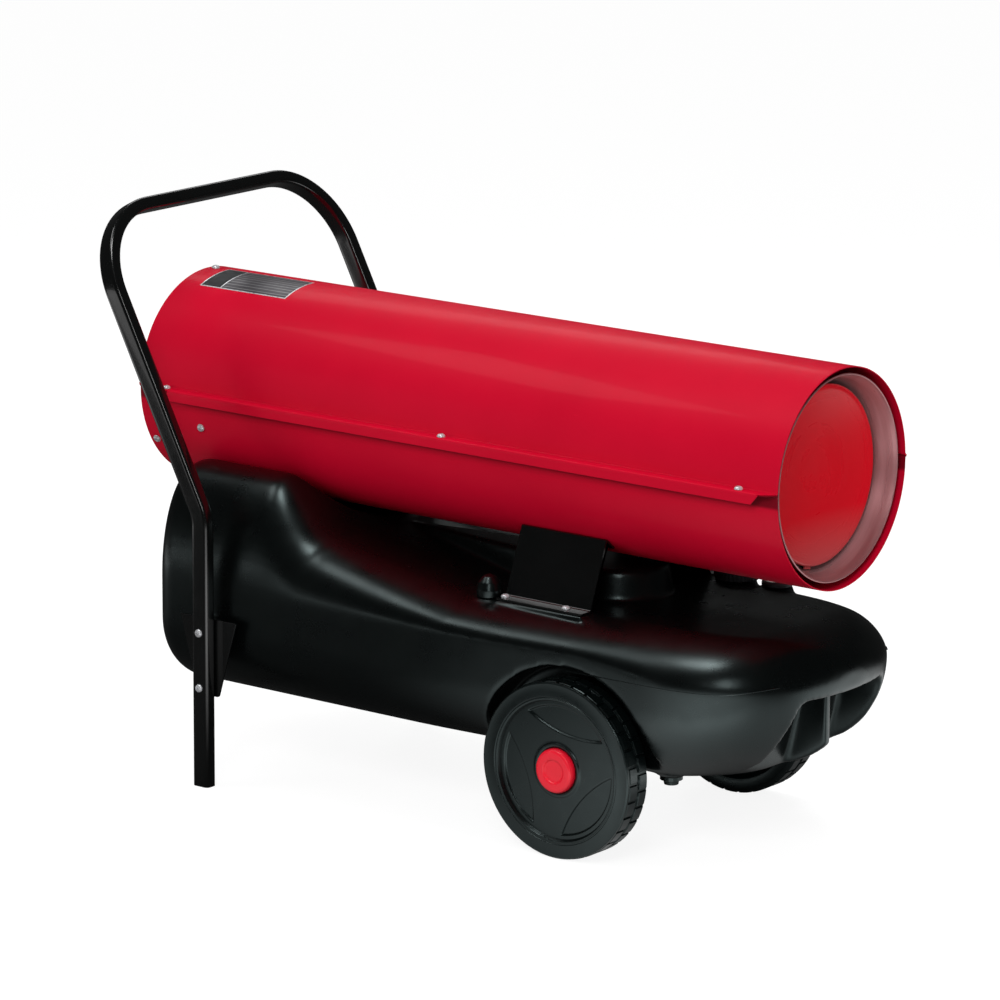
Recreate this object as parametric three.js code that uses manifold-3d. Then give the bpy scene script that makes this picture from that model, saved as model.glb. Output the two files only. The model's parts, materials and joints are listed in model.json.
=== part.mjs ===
// Forced air heater: a red sheet-metal heater tube carried on a black moulded fuel tank,
// with two wheels at the front and a bent-tube handle whose legs stand on the floor at the rear.
// Millimetres. +X points out of the hot-air outlet, Y runs across, +Z is up. While the pieces are
// made, X = 0 is the wheel axle; at the end the whole is centred over its own footprint.

import * as THREE from 'three';
import { mergeVertices } from 'three/addons/utils/BufferGeometryUtils.js';
import Module from 'manifold-3d';

const wasm = await Module();
wasm.setup();

// ---- clearances -------------------------------------------------------------------------------
const seatGap = 0.3; // between two pieces that touch
const runGap = 0.05; // radial play of a turning shaft in its bore
const joinDepth = 2; // how deep a boss reaches into the wall that it is moulded on

// ---- heater tube ------------------------------------------------------------------------------
const tubeRadius = 153.5;
const tubeAxisZ = 538;
const tubeFrontX = 307;
const tubeRearX = -815;
const sheet = 1.5; // shell sheet thickness
const seamRise = 5; // seam above the tube axis
const flangeWidth = 17;
const flangeRunOut = 19; // length over which the flanges fade out at each end of the tube
const flangeEnd = 1.5; // what is left of them there
const lipDrop = 14;
const lipFrontX = tubeFrontX - 21;
const lipRearX = tubeRearX + 65;
const lipChamfer = 11;
const seamScrewInset = 57; // from each end of the tube

// ---- fuel tank --------------------------------------------------------------------------------
const tankRearX = -730;
const tankRearRound = 40;
const tankHalfWidth = 232;
const noseHalfWidth = 208;
const noseStartX = 120;
const noseTipX = 332;
const nosePower = 2.4;
const tankBottomZ = 123;
const tankWall = 5;
const plateauZ = 447;
const plateauEndX = -545;
const deckStartX = -440;
const deckRearZ = 370;
const deckZ = 326;
const deckLevelX = -200;
const noseDrop = 50;
const noseDropLength = 70;
const shoulderWidth = 85;
const shoulderZ = 290;
const noseShoulderZ = 248;
const bilgeRadius = 100;
const noseBilgeWidth = 70;
const chinStartX = 190;
const chinRise = 135;
const troughGap = 11; // tube to tank plateau
const archGap = 17; // wheel to wheel arch
const spineGap = 16.5; // tube to the spine under it
const spineRearX = -450;
const spineFrontX = 8;
const spineHalfWidth = 68;

// ---- hand recess in the nose --------------------------------------------------------------------
const recessHalfWidth = 102;
const recessTopZ = 247;
const recessBottomZ = 108; // below the belly, so the recess is open there
const recessFloorTopX = 256;
const recessFloorBottomX = 219;
const recessCorner = 16;
const ribThickness = 12;
const ribSetForward = 36;

// ---- wheels and axle ----------------------------------------------------------------------------
const wheelRadius = 125;
const wheelWidth = 49;
const wheelOuterY = tankHalfWidth - 0.5;
const lugDepth = 3;
const lugCount = 24;
const pocketRadius = 92; // three lens-shaped pockets in the wheel's disc
const pocketReach = 53; // distance from the axle to a pocket's inner edge
const pocketDepth = 3;
const pocketAngle = 79;
const discDepth = 6;
const axleRadius = 8;
const capRadius = 31.5;
const capSeat = 35; // from the wheel's inner face
const capHeight = 18;
const tunnelHalfWidth = 20;
const tunnelDrop = 16; // tunnel wall below the axle's centre

// ---- handle and legs ----------------------------------------------------------------------------
const legX = -607;
const legOffset = 27; // leg's centre line outside the tank's flank
const handleDeep = 30; // section along the direction of travel
const handleWide = 20; // section across
const handleWall = 1.5;
const handleCorner = 7;
const kneeZ = 396;
const kneeRadius = 60;
const handleLean = 27.6; // degrees back from upright
const handleTopZ = 802;
const handleBend = 120;
const legScrewZ = [227, 146];
const legPlateSheet = 3;
const legPlateTopWidth = 104;
const legPlateFootWidth = 38;
const legPlateZ = [131, 245];

// ---- saddle brackets ----------------------------------------------------------------------------
const saddleX = [-154, -8];
const saddleSheet = 3;
const saddleFootY = [164, 142];
const saddleTouchAngle = 43; // degrees from the tube's underside
const saddleFlange = 22;
const saddleScrewX = [-147, -42];
const footPad = 2;
const padInset = 50; // cradle pad from the tank's rear face
const padLength = 70;

// ---- burner -------------------------------------------------------------------------------------
const chamberGap = 33.5; // tube to combustion chamber
const chamberWall = 1.2;
const chamberLength = 659;
const standoffInset = 90; // from the chamber's rear end
const standoffWidth = 13;
const coneInset = 5; // cone's rim behind the tube's front edge
const coneLength = 67;
const coneGap = 11.5; // tube to the cone's rim
const coneOverlap = 30;
const baffleInset = 27; // behind the cone's rim
const baffleOver = 5; // larger in radius than the chamber
const baffleDish = 16;
const baffleSheet = 1.5;
const headInset = 4;
const headThickness = 3;
const headRim = 14.3; // burner head's edge to its air slots
const airSlotLength = 36;
const airSlotWidth = 12;
const airSlotCount = 8;
const nozzleRadius = 9;
const nozzleLength = 55;

// ---- fan, motor and pump ------------------------------------------------------------------------
const motorRadius = 52;
const motorLength = 115;
const guardInset = 3;
const intakeSpace = 67; // guard to motor
const shaftRadius = 6;
const fanSpace = 28; // motor to fan hub
const fanHubLength = 36;
const fanGap = 15.5; // tube to blade tips
const fanHubRadius = 28;
const bladeSheet = 2.5;
const bladeChord = 62;
const bladeReach = 14; // how far the blades stand beyond the hub's ends
const bladeCount = 5;
const bladePitch = 33;
const pumpRadius = 40;
const pumpLength = 40;
const filterLength = 12;
const mountInset = 9; // mount's rear edge ahead of the motor's rear face
const mountLength = 60;
const mountSheet = 2;
const guardRingCount = 3;
const guardHubRadius = 22;
const guardBar = 4;
const guardSleeve = 20;
const sideScrewAngle = 17.4;
const guardScrewAngle = 30.2;
const transformerWidth = 76;
const transformerHeight = 58;

// ---- control box --------------------------------------------------------------------------------
const boxInset = 75; // from the tube's rear end
const boxLength = 150;
const boxHeight = 68;
const boxDrop = 14; // box top below the tube's axis
const boxProud = 46.5; // box face outside the tube
const boxWall = 2.5;
const knobInset = 40; // places along the box's face
const rockerInset = 85;
const resetInset = 120;
const knobRadius = 17;
const knobHeight = 18;
const knobStem = 3;
const rockerRadius = 9.5;
const rockerLength = 22;
const rockerTilt = 8;
const resetRadius = 6;
const resetTravel = 3;
const glandRadius = 9;

// ---- tank fittings ------------------------------------------------------------------------------
const fittingY = 150;
const fillerX = 32;
const neckRadius = 27;
const neckBore = 21;
const neckHeight = 18;
const capSkirt = 34;
const gasketHeight = 3;
const breatherX = -177;
const breatherRadius = 19;
const breatherHeight = 32;
const pickupX = -177;
const gaugeX = 100;
const gaugeRadius = 22;
const drainX = 125;
const drainY = -132;
const drainRadius = 18;
const hoseRadius = 4.5;
const hoseHoleX = -455;
const hoseEntryAngle = 35; // degrees from the tube's underside
const airHoseRadius = 3.5;

// ---- screws -------------------------------------------------------------------------------------
const screwRadius = 2.4;
const screwHead = 6;
const screwHeadHeight = 4.5;
const screwHole = 2.8;
const screwSides = 8;

const roundSides = 64;
const smallSides = 32;

// ---- derived places -----------------------------------------------------------------------------
const tubeInner = tubeRadius - sheet;
const seamZ = tubeAxisZ + seamRise;
const upperFlangeZ = seamZ + seatGap + sheet;
const axleZ = wheelRadius;
const wheelInnerY = wheelOuterY - wheelWidth;
const legY = tankHalfWidth + legOffset;
const spineTopZ = tubeAxisZ - tubeRadius - spineGap;
const seamScrewEnds = [tubeRearX + seamScrewInset, tubeFrontX - seamScrewInset];
const seamScrewX = [seamScrewEnds[0], (seamScrewEnds[0] + seamScrewEnds[1]) / 2, seamScrewEnds[1]];
const coneFrontX = tubeFrontX - coneInset;
const coneRadius = tubeRadius - coneGap;
const chamberFrontX = coneFrontX - coneLength;
const chamberRearX = chamberFrontX - chamberLength;
const chamberRadius = tubeRadius - chamberGap;
const baffleX = coneFrontX - baffleInset;
const baffleRadius = chamberRadius + baffleOver;
const headX = chamberRearX + headInset;
const nozzleRearX = headX - nozzleLength;
const guardX = tubeRearX + guardInset;
const guardScrewX = guardX + guardSleeve / 2;
const motorX = [guardX + intakeSpace, guardX + intakeSpace + motorLength];
const mountX = [motorX[0] + mountInset, motorX[0] + mountInset + mountLength];
const sideScrewX = (mountX[0] + mountX[1]) / 2;
const fanX = [motorX[1] + fanSpace, motorX[1] + fanSpace + fanHubLength];
const fanRadius = tubeRadius - fanGap;
const boxX = [tubeRearX + boxInset, tubeRearX + boxInset + boxLength];
const boxZ = [tubeAxisZ - boxDrop - boxHeight, tubeAxisZ - boxDrop];
const boxFaceY = tubeRadius + boxProud;
const [knobX, rockerX, resetX] = [knobInset, rockerInset, resetInset].map((inset) => boxX[0] + inset);
const lean = THREE.MathUtils.degToRad(handleLean);
const padZ = deckZ + footPad;
const boreRadius = (r) => (r + runGap) / Math.cos(Math.PI / smallSides);

// ---- solids from three.js shapes ----------------------------------------------------------------
function toSolid(geometry) {
  const plain = geometry.index ? geometry.toNonIndexed() : geometry.clone();
  plain.deleteAttribute('normal');
  plain.deleteAttribute('uv');
  const merged = mergeVertices(plain, 1e-4);
  const source = merged.index.array;
  const triVerts = [];
  for (let i = 0; i < source.length; i += 3) {
    const [a, b, c] = [source[i], source[i + 1], source[i + 2]];
    if (a !== b && b !== c && c !== a) triVerts.push(a, b, c);
  }
  const vertProperties = merged.attributes.position.array;
  return new wasm.Manifold(new wasm.Mesh({ numProp: 3, vertProperties, triVerts: Uint32Array.from(triVerts) }));
}

function toGeometry(solid) {
  const mesh = solid.simplify(0.02).getMesh();
  const geometry = new THREE.BufferGeometry();
  geometry.setAttribute('position', new THREE.BufferAttribute(Float32Array.from(mesh.vertProperties), 3));
  geometry.setIndex(new THREE.BufferAttribute(Uint32Array.from(mesh.triVerts), 1));
  geometry.computeVertexNormals();
  return geometry;
}

const join = (first, ...rest) => rest.reduce((sum, piece) => sum.add(piece), first);
const cut = (first, ...tools) => tools.reduce((left, tool) => left.subtract(tool), first);

function block(x0, x1, y0, y1, z0, z1) {
  const geometry = new THREE.BoxGeometry(Math.abs(x1 - x0), Math.abs(y1 - y0), Math.abs(z1 - z0));
  geometry.translate((x0 + x1) / 2, (y0 + y1) / 2, (z0 + z1) / 2);
  return toSolid(geometry);
}

// An outline is a list of [u, v] points or a THREE.Shape.
function toShape(outline) {
  if (outline instanceof THREE.Shape) return outline;
  return new THREE.Shape(outline.map(([u, v]) => new THREE.Vector2(u, v)));
}

const extrude = (outline, depth) => new THREE.ExtrudeGeometry(toShape(outline), {
  depth, bevelEnabled: false, curveSegments: 8,
});

// Outline in (y, z), extruded along x.
function alongX(outline, x0, x1) {
  const geometry = extrude(outline, x1 - x0);
  geometry.applyMatrix4(new THREE.Matrix4().set(0, 0, 1, x0, 1, 0, 0, 0, 0, 1, 0, 0, 0, 0, 0, 1));
  return toSolid(geometry);
}

// Outline in (x, z), extruded along y.
function alongY(outline, y0, y1) {
  const [low, high] = [Math.min(y0, y1), Math.max(y0, y1)];
  const geometry = extrude(outline, high - low);
  geometry.applyMatrix4(new THREE.Matrix4().set(1, 0, 0, 0, 0, 0, -1, high, 0, 1, 0, 0, 0, 0, 0, 1));
  return toSolid(geometry);
}

// Outline in (x, y), extruded along z.
function alongZ(outline, z0, z1) {
  const geometry = extrude(outline, z1 - z0);
  geometry.translate(0, 0, z0);
  return toSolid(geometry);
}

// A closed outline or an outline that starts and ends on the axis, as [radius, height] points.
function turnedGeometry(profile, sides) {
  const closed = profile[0][0] > 0;
  let area = 0;
  profile.forEach(([r, h], i) => {
    const [r2, h2] = profile[(i + 1) % profile.length];
    area += r * h2 - r2 * h;
  });
  const points = profile.map(([r, h]) => new THREE.Vector2(r, h));
  if (area < 0) points.reverse();
  if (closed) points.push(points[0].clone());
  return new THREE.LatheGeometry(points, sides);
}

const yAxis = new THREE.Vector3(0, 1, 0);

// Turns a profile about a line through `at`; its heights run along `direction`.
function turned(profile, at, direction, sides = smallSides) {
  const geometry = turnedGeometry(profile, sides);
  geometry.applyQuaternion(new THREE.Quaternion().setFromUnitVectors(yAxis, direction));
  geometry.translate(at.x, at.y, at.z);
  return toSolid(geometry);
}

const alongTube = new THREE.Vector3(1, 0, 0);
const up = new THREE.Vector3(0, 0, 1);
const across = (side) => new THREE.Vector3(0, side, 0);
const place = (x, y, z) => new THREE.Vector3(x, y, z);
const onAxis = (x = 0) => place(x, 0, tubeAxisZ);

const rodProfile = (radius, from, to) => [[0, from], [radius, from], [radius, to], [0, to]];
const ringProfile = (inner, outer, from, to) => [[inner, from], [outer, from], [outer, to], [inner, to]];
const rod = (radius, from, to, at, direction, sides) => turned(rodProfile(radius, from, to), at, direction, sides);

// Joins rings of points, each ring closed, into one skin with flat ends.
function loft(rings) {
  const count = rings[0].length;
  const positions = rings.flat().flatMap((p) => [p.x, p.y, p.z]);
  const index = [];
  for (let i = 0; i < rings.length - 1; i += 1) {
    for (let j = 0; j < count; j += 1) {
      const a = i * count + j;
      const b = i * count + ((j + 1) % count);
      index.push(a, b, b + count, a, b + count, a + count);
    }
  }
  const last = (rings.length - 1) * count;
  for (let j = 1; j < count - 1; j += 1) {
    index.push(0, j + 1, j);
    index.push(last, last + j, last + j + 1);
  }
  const geometry = new THREE.BufferGeometry();
  geometry.setAttribute('position', new THREE.Float32BufferAttribute(positions, 3));
  geometry.setIndex(index);
  const solid = toSolid(geometry);
  if (solid.volume() > 0) return solid;
  geometry.setIndex(index.map((_, i) => index[i - (i % 3) + (2 - (i % 3))]));
  return toSolid(geometry);
}

// Offsets a bent line to both sides to make the outline of a folded sheet.
function foldedSheet(points, thickness) {
  const line = points.map(([u, v]) => new THREE.Vector2(u, v));
  const normals = line.slice(1).map((p, i) => {
    const run = p.clone().sub(line[i]).normalize();
    return new THREE.Vector2(-run.y, run.x);
  });
  const offsets = line.map((_, i) => {
    const before = normals[Math.max(i - 1, 0)];
    const after = normals[Math.min(i, normals.length - 1)];
    const middle = before.clone().add(after).normalize();
    return middle.multiplyScalar(thickness / 2 / middle.dot(after));
  });
  const left = line.map((p, i) => p.clone().add(offsets[i]));
  const right = line.map((p, i) => p.clone().sub(offsets[i])).reverse();
  return [...left, ...right].map((p) => [p.x, p.y]);
}

// Points on a circle about the tube axis; angle 0 is towards +Y and 90 is straight up.
function tubePoint(radius, degrees) {
  const a = THREE.MathUtils.degToRad(degrees);
  return [radius * Math.cos(a), tubeAxisZ + radius * Math.sin(a)];
}

function tubeArc(radius, from, to, steps) {
  return Array.from({ length: steps + 1 }, (_, i) => tubePoint(radius, from + ((to - from) * i) / steps));
}

const heightAngle = (radius, z) => THREE.MathUtils.radToDeg(Math.asin((z - tubeAxisZ) / radius));
const mix = (a, b, t) => a + (b - a) * t;
const ease = (from, to, x) => THREE.MathUtils.smoothstep(x, from, to);
const clamp01 = (t) => THREE.MathUtils.clamp(t, 0, 1);

// ---- finishes -------------------------------------------------------------------------------------
const finishes = {
  redPaint: { color: 0xc01028, roughness: 0.25, metalness: 0.1 },
  redPlastic: { color: 0xe81c30, roughness: 0.3, metalness: 0 },
  tankPlastic: { color: 0x151718, roughness: 0.22, metalness: 0 },
  wheelPlastic: { color: 0x1d2021, roughness: 0.4, metalness: 0 },
  blackPaint: { color: 0x141516, roughness: 0.25, metalness: 0.1 },
  darkPlastic: { color: 0x202224, roughness: 0.5, metalness: 0 },
  rubber: { color: 0x18191a, roughness: 0.8, metalness: 0 },
  zinc: { color: 0xc8ccd0, roughness: 0.3, metalness: 0.9 },
  liner: { color: 0x9a8c8c, roughness: 0.35, metalness: 0.9 },
  steel: { color: 0x8f9498, roughness: 0.4, metalness: 0.9 },
  aluminium: { color: 0xb4b8bc, roughness: 0.45, metalness: 0.8 },
  brass: { color: 0xb59a4d, roughness: 0.35, metalness: 0.9 },
  ceramic: { color: 0xe6e2d8, roughness: 0.5, metalness: 0 },
};

const heater = new THREE.Group();
const assembly = new THREE.Group();
heater.add(assembly);

function add(name, solid, finish) {
  const mesh = new THREE.Mesh(toGeometry(solid), new THREE.MeshStandardMaterial(finishes[finish]));
  mesh.name = name;
  assembly.add(mesh);
}

const sides = { near: -1, far: 1 };

// ---- screws ---------------------------------------------------------------------------------------
// `at` is where the head's underside lies and `outward` points out of the head.
function addScrew(name, at, outward, length) {
  const profile = [
    [0, -length], [screwRadius, -length], [screwRadius, seatGap], [screwHead, seatGap],
    [screwHead, screwHeadHeight * 0.55], [screwHead * 0.6, screwHeadHeight], [0, screwHeadHeight],
  ];
  add(name, turned(profile, at, outward, screwSides), 'zinc');
}

const screwBore = (at, outward, length, radius = screwHole) => (
  rod(radius, -length, screwHeadHeight, at, outward, screwSides)
);

// The seat of a screw that enters the tube square to its wall.
function radialSeat(x, degrees) {
  const [y, z] = tubePoint(tubeRadius, degrees);
  const outward = place(0, y, z - tubeAxisZ).normalize();
  return { at: place(x, y, z), outward };
}

const sideSeat = radialSeat(sideScrewX, 180 + sideScrewAngle);
const guardSeats = {
  near: radialSeat(guardScrewX, 180 + guardScrewAngle),
  top: radialSeat(guardScrewX, 90),
};
const seamScrewY = (tubeRadius + tubeRadius + flangeWidth) / 2;

// ---- heater tube: two half shells joined by flanges --------------------------------------------
const flangeY = tubeRadius + flangeWidth;
const lipGap = 1.2;

// Wedges that trim the flanges towards the tube's ends.
function flangeTrims() {
  const wedge = (endX, way, side) => alongZ([
    [endX - way * flangeRunOut, side * (flangeY + 1)], [endX + way, side * (flangeY + 1)],
    [endX + way, side * (tubeRadius + flangeEnd)],
  ], seamZ - sheet - 1, upperFlangeZ + 1);
  return Object.values(sides).flatMap((side) => [wedge(tubeFrontX, 1, side), wedge(tubeRearX, -1, side)]);
}

function upperShell() {
  const innerZ = seamZ + seatGap;
  const outerStart = heightAngle(tubeRadius, upperFlangeZ);
  const innerStart = heightAngle(tubeInner, innerZ);
  const steps = roundSides / 2;
  const outline = [
    [flangeY, innerZ], [flangeY, upperFlangeZ],
    ...tubeArc(tubeRadius, outerStart, 180 - outerStart, steps),
    [-flangeY, upperFlangeZ], [-flangeY, innerZ],
    ...tubeArc(tubeInner, 180 - innerStart, innerStart, steps),
  ];
  const lipOutline = [
    [lipRearX, upperFlangeZ], [lipRearX, seamZ - lipDrop],
    [lipFrontX - lipChamfer, seamZ - lipDrop], [lipFrontX, upperFlangeZ],
  ];
  let shell = alongX(outline, tubeRearX, tubeFrontX);
  for (const side of Object.values(sides)) {
    shell = shell.add(alongY(lipOutline, side * (flangeY - sheet), side * flangeY));
    for (const x of seamScrewX) {
      shell = shell.subtract(screwBore(place(x, side * seamScrewY, upperFlangeZ), up, lipDrop));
    }
  }
  return cut(shell, ...flangeTrims(), screwBore(guardSeats.top.at, guardSeats.top.outward, screwHead));
}

function lowerShell() {
  const edge = flangeY - sheet - lipGap;
  const bottomZ = seamZ - sheet;
  const outerStart = heightAngle(tubeRadius, bottomZ);
  const innerStart = heightAngle(tubeInner, seamZ);
  const steps = roundSides / 2;
  const outline = [
    [edge, seamZ], [edge, bottomZ],
    ...tubeArc(tubeRadius, outerStart, -180 - outerStart, steps),
    [-edge, bottomZ], [-edge, seamZ],
    ...tubeArc(tubeInner, -180 - innerStart, innerStart, steps),
  ];
  let shell = alongX(outline, tubeRearX, tubeFrontX);
  for (const side of Object.values(sides)) {
    for (const x of seamScrewX) {
      shell = shell.subtract(screwBore(place(x, side * seamScrewY, upperFlangeZ), up, lipDrop));
    }
  }
  const hoseHole = rod(hoseRadius + 1, -joinDepth * 2, joinDepth * 2, hoseCrossing(tubeRadius), hoseInward, screwSides);
  const wireX = (boxX[0] + boxX[1]) / 2;
  const wireHole = rod(10, tubeRadius - 20, tubeRadius + 20, place(wireX, 0, (boxZ[0] + boxZ[1]) / 2), across(1), screwSides);
  return cut(
    shell,
    ...flangeTrims(),
    screwBore(sideSeat.at, sideSeat.outward, screwHead),
    screwBore(guardSeats.near.at, guardSeats.near.outward, screwHead),
    hoseHole,
    wireHole,
  );
}

// ---- fuel tank ------------------------------------------------------------------------------------
function tankHalfWidthAt(x) {
  const base = mix(tankHalfWidth, noseHalfWidth, ease(deckLevelX - 100, noseStartX, x));
  const u = clamp01((x - noseStartX) / (noseTipX - noseStartX));
  return base * (1 - u ** nosePower) ** (1 / nosePower);
}

function deckAt(x) {
  const stepped = mix(plateauZ, deckRearZ, ease(plateauEndX, deckStartX, x));
  const sloped = mix(stepped, deckZ, clamp01((x - deckStartX) / (deckLevelX - deckStartX)) ** 0.8);
  const v = clamp01((x - noseTipX + noseDropLength) / noseDropLength);
  return sloped - noseDrop * (1 - Math.sqrt(1 - v * v));
}

function bellyAt(x) {
  const u = clamp01((x - chinStartX) / (noseTipX - chinStartX));
  return tankBottomZ + chinRise * (1 - Math.sqrt(1 - u * u));
}

function tankRing(x, inset, steps) {
  const halfWidth = tankHalfWidthAt(x) - inset;
  const top = deckAt(x) - inset;
  const bottom = bellyAt(x) + inset;
  const noseShare = ease(noseStartX, (noseStartX + noseTipX) / 2 + 60, x);
  const flankTop = mix(shoulderZ, noseShoulderZ, ease(0, noseStartX + 80, x));
  const shoulder = [Math.min(shoulderWidth - inset, halfWidth * 0.8), Math.max(top - flankTop, 4)];
  const bilgeY = mix(mix(bilgeRadius, noseBilgeWidth, ease(deckLevelX, noseStartX, x)), noseHalfWidth, noseShare);
  const bilge = [Math.min(bilgeY - inset, halfWidth * 0.9), Math.min(bilgeRadius - inset, (top - shoulder[1] - bottom) * 0.98)];
  const corners = [
    [1, 1, shoulder], [-1, 1, shoulder], [-1, -1, bilge], [1, -1, bilge],
  ];
  return corners.flatMap(([sy, sz, [ry, rz]], quadrant) => (
    Array.from({ length: steps + 1 }, (_, i) => {
      const a = ((quadrant + i / steps) * Math.PI) / 2;
      const cy = sy * (halfWidth - ry);
      const cz = sz > 0 ? top - rz : bottom + rz;
      return place(x, cy + ry * Math.cos(a), cz + rz * Math.sin(a));
    })
  ));
}

function tankBody(inset, steps, stride) {
  const rearX = tankRearX + inset;
  const round = tankRearRound - inset;
  const rings = [];
  for (const degrees of [0, 35, 65]) {
    const a = THREE.MathUtils.degToRad(degrees);
    rings.push({ x: rearX + round * (1 - Math.cos(a)), inset: inset + round * (1 - Math.sin(a)) });
  }
  const runs = [[rearX + round, plateauEndX, 1], [plateauEndX, deckStartX, 6], [deckStartX, deckLevelX, 4], [deckLevelX, noseStartX, 4]];
  for (const [from, to, count] of runs) {
    for (let i = 0; i < count; i += stride) rings.push({ x: mix(from, to, i / count), inset });
  }
  for (let degrees = 0; degrees <= 90; degrees += 10 * stride) {
    const reach = Math.sin(THREE.MathUtils.degToRad(Math.min(degrees, 87))) ** (2 / nosePower);
    const x = mix(noseStartX, noseTipX, reach);
    if (tankHalfWidthAt(x) - inset > 8 && deckAt(x) - bellyAt(x) > 2 * inset + 10) rings.push({ x, inset });
  }
  return loft(rings.map((ring) => tankRing(ring.x, ring.inset, steps)));
}

// Boat-shaped spine that rises from the deck under the tube: pointed behind, round in front.
function tankSpine(inset, divisions) {
  const half = spineHalfWidth - inset;
  const roundX = spineFrontX - spineHalfWidth;
  const shape = new THREE.Shape();
  shape.moveTo(spineRearX + inset * 3, 0);
  shape.bezierCurveTo(spineRearX + 110, -half * 0.36, roundX - 150, -half * 0.45, roundX, -half);
  shape.absarc(roundX, 0, half, -Math.PI / 2, Math.PI / 2, false);
  shape.bezierCurveTo(roundX - 150, half * 0.45, spineRearX + 110, half * 0.36, spineRearX + inset * 3, 0);
  const outline = shape.getPoints(divisions).map((p) => [p.x, p.y]);
  return alongZ(outline, deckZ - 30, spineTopZ - inset);
}

// Front view of the recess: a box with rounded corners, in (y, z).
function recessFront(grow) {
  const [half, low, high] = [recessHalfWidth + grow, recessBottomZ - grow, recessTopZ + grow];
  const r = recessCorner;
  const shape = new THREE.Shape();
  shape.moveTo(-half, low + r);
  shape.absarc(-half + r, high - r, r, Math.PI, Math.PI / 2, true);
  shape.absarc(half - r, high - r, r, Math.PI / 2, 0, true);
  shape.absarc(half - r, low + r, r, 0, -Math.PI / 2, true);
  shape.absarc(-half + r, low + r, r, -Math.PI / 2, -Math.PI, true);
  return shape;
}

// Side view of a cut from the nose back to a floor that runs between two places, in (x, z).
function recessCut(grow, floorTopX, floorBottomX) {
  const reach = noseTipX + 20;
  return [
    [floorTopX - grow, recessTopZ + grow], [floorBottomX - grow, recessBottomZ - grow],
    [reach, recessBottomZ - grow], [reach, recessTopZ + grow],
  ];
}

function noseRecess() {
  const front = alongX(recessFront(0), recessFloorBottomX - 20, noseTipX + 20);
  const halfRib = ribThickness / 2;
  const pocketSide = recessCut(0, recessFloorTopX, recessFloorBottomX);
  const near = alongY(pocketSide, -recessHalfWidth, -halfRib);
  const far = alongY(pocketSide, halfRib, recessHalfWidth);
  const ribFrontX = recessFloorTopX + ribSetForward;
  const overRib = alongY(recessCut(0, ribFrontX, ribFrontX), -halfRib - 1, halfRib + 1);
  return join(near, far, overRib).intersect(front);
}

function wheelArches(grow, divisions) {
  const radius = wheelRadius + archGap + grow;
  const inner = wheelInnerY - 10.5 - grow;
  const outer = tankHalfWidth + 20;
  const arch = (side) => rod(radius, inner, outer, place(0, 0, axleZ), across(side), divisions);
  return join(arch(-1), arch(1));
}

function fuelTank() {
  const tubeClearance = tubeRadius + troughGap;
  const trough = rod(tubeClearance, tankRearX - 20, deckLevelX, onAxis(), alongTube, 48);
  const troughSkin = rod(tubeClearance + tankWall, tankRearX - 20, deckLevelX, onAxis(), alongTube, 24);
  const tunnelZ = [axleZ - tunnelDrop, axleZ + 25];
  const tunnel = block(-tunnelHalfWidth, tunnelHalfWidth, -wheelInnerY + 12, wheelInnerY - 12, ...tunnelZ);
  const spacer = (side) => rod(tunnelDrop, wheelInnerY - 16, wheelInnerY - seatGap, place(0, 0, axleZ), across(side));
  const boss = (x, y, radius, fromZ, toZ) => rod(radius, fromZ, toZ, place(x, y, 0), up, 20);
  const flankBoss = (side) => (
    rod(12, tankHalfWidth - 16, legY - handleWide / 2 - legPlateSheet - 2 * seatGap, place(legX, 0, legScrewZ[0]), across(side))
  );
  const pads = Object.values(sides).map((side) => (
    block(saddleX[0] - 2, saddleX[1] + 2, side * (saddleFootY[1] - 6), side * (saddleFootY[0] + 2), deckZ - 20, padZ)
  ));
  let outer = tankBody(0, 5, 1).subtract(trough).add(tankSpine(0, 8));
  outer = outer.subtract(noseRecess()).subtract(wheelArches(0, 40));
  outer = join(
    outer, tunnel, spacer(-1), spacer(1), ...pads, flankBoss(-1), flankBoss(1),
    boss(breatherX, -fittingY, breatherRadius, deckZ - 20, padZ),
    boss(pickupX, fittingY, breatherRadius, deckZ - 20, padZ),
    boss(gaugeX, fittingY, gaugeRadius, deckZ - 20, padZ),
    boss(fillerX, fittingY, neckRadius, deckZ - 20, deckZ + neckHeight),
    boss(drainX, drainY, drainRadius, tankBottomZ - 3, tankBottomZ + 20),
  );
  const tunnelSkin = block(
    -tunnelHalfWidth - tankWall, tunnelHalfWidth + tankWall, -tankHalfWidth, tankHalfWidth, 0, tunnelZ[1] + tankWall,
  );
  const recessSide = recessCut(tankWall, recessFloorTopX, recessFloorBottomX);
  const recessSkin = alongY(recessSide, -recessHalfWidth - tankWall, recessHalfWidth + tankWall);
  let cavity = tankBody(tankWall, 3, 2).subtract(troughSkin).add(tankSpine(tankWall, 4));
  cavity = cut(cavity, wheelArches(tankWall, 20), tunnelSkin, recessSkin);
  const holes = [
    boss(fillerX, fittingY, neckBore, deckZ - 30, deckZ + neckHeight + 1),
    boss(fillerX, fittingY, neckBore + 2, deckZ + neckHeight - 3, deckZ + neckHeight + 1),
    boss(breatherX, -fittingY, 6, deckZ - 30, padZ + 1),
    boss(pickupX, fittingY, 8, deckZ - 30, padZ + 1),
    boss(gaugeX, fittingY, 12, deckZ - 30, padZ + 1),
    boss(drainX, drainY, 8, tankBottomZ - 4, tankBottomZ + 30),
    rod(axleRadius + seatGap, -wheelInnerY - 1, wheelInnerY + 1, place(0, 0, axleZ), across(1)),
  ];
  for (const side of Object.values(sides)) {
    for (const x of saddleScrewX) holes.push(screwBore(place(x, side * saddleScrewY, padZ), up, 14));
    holes.push(screwBore(place(legX, side * legY, legScrewZ[0]), across(side), 34));
  }
  return cut(outer, cavity, ...holes);
}

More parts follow.
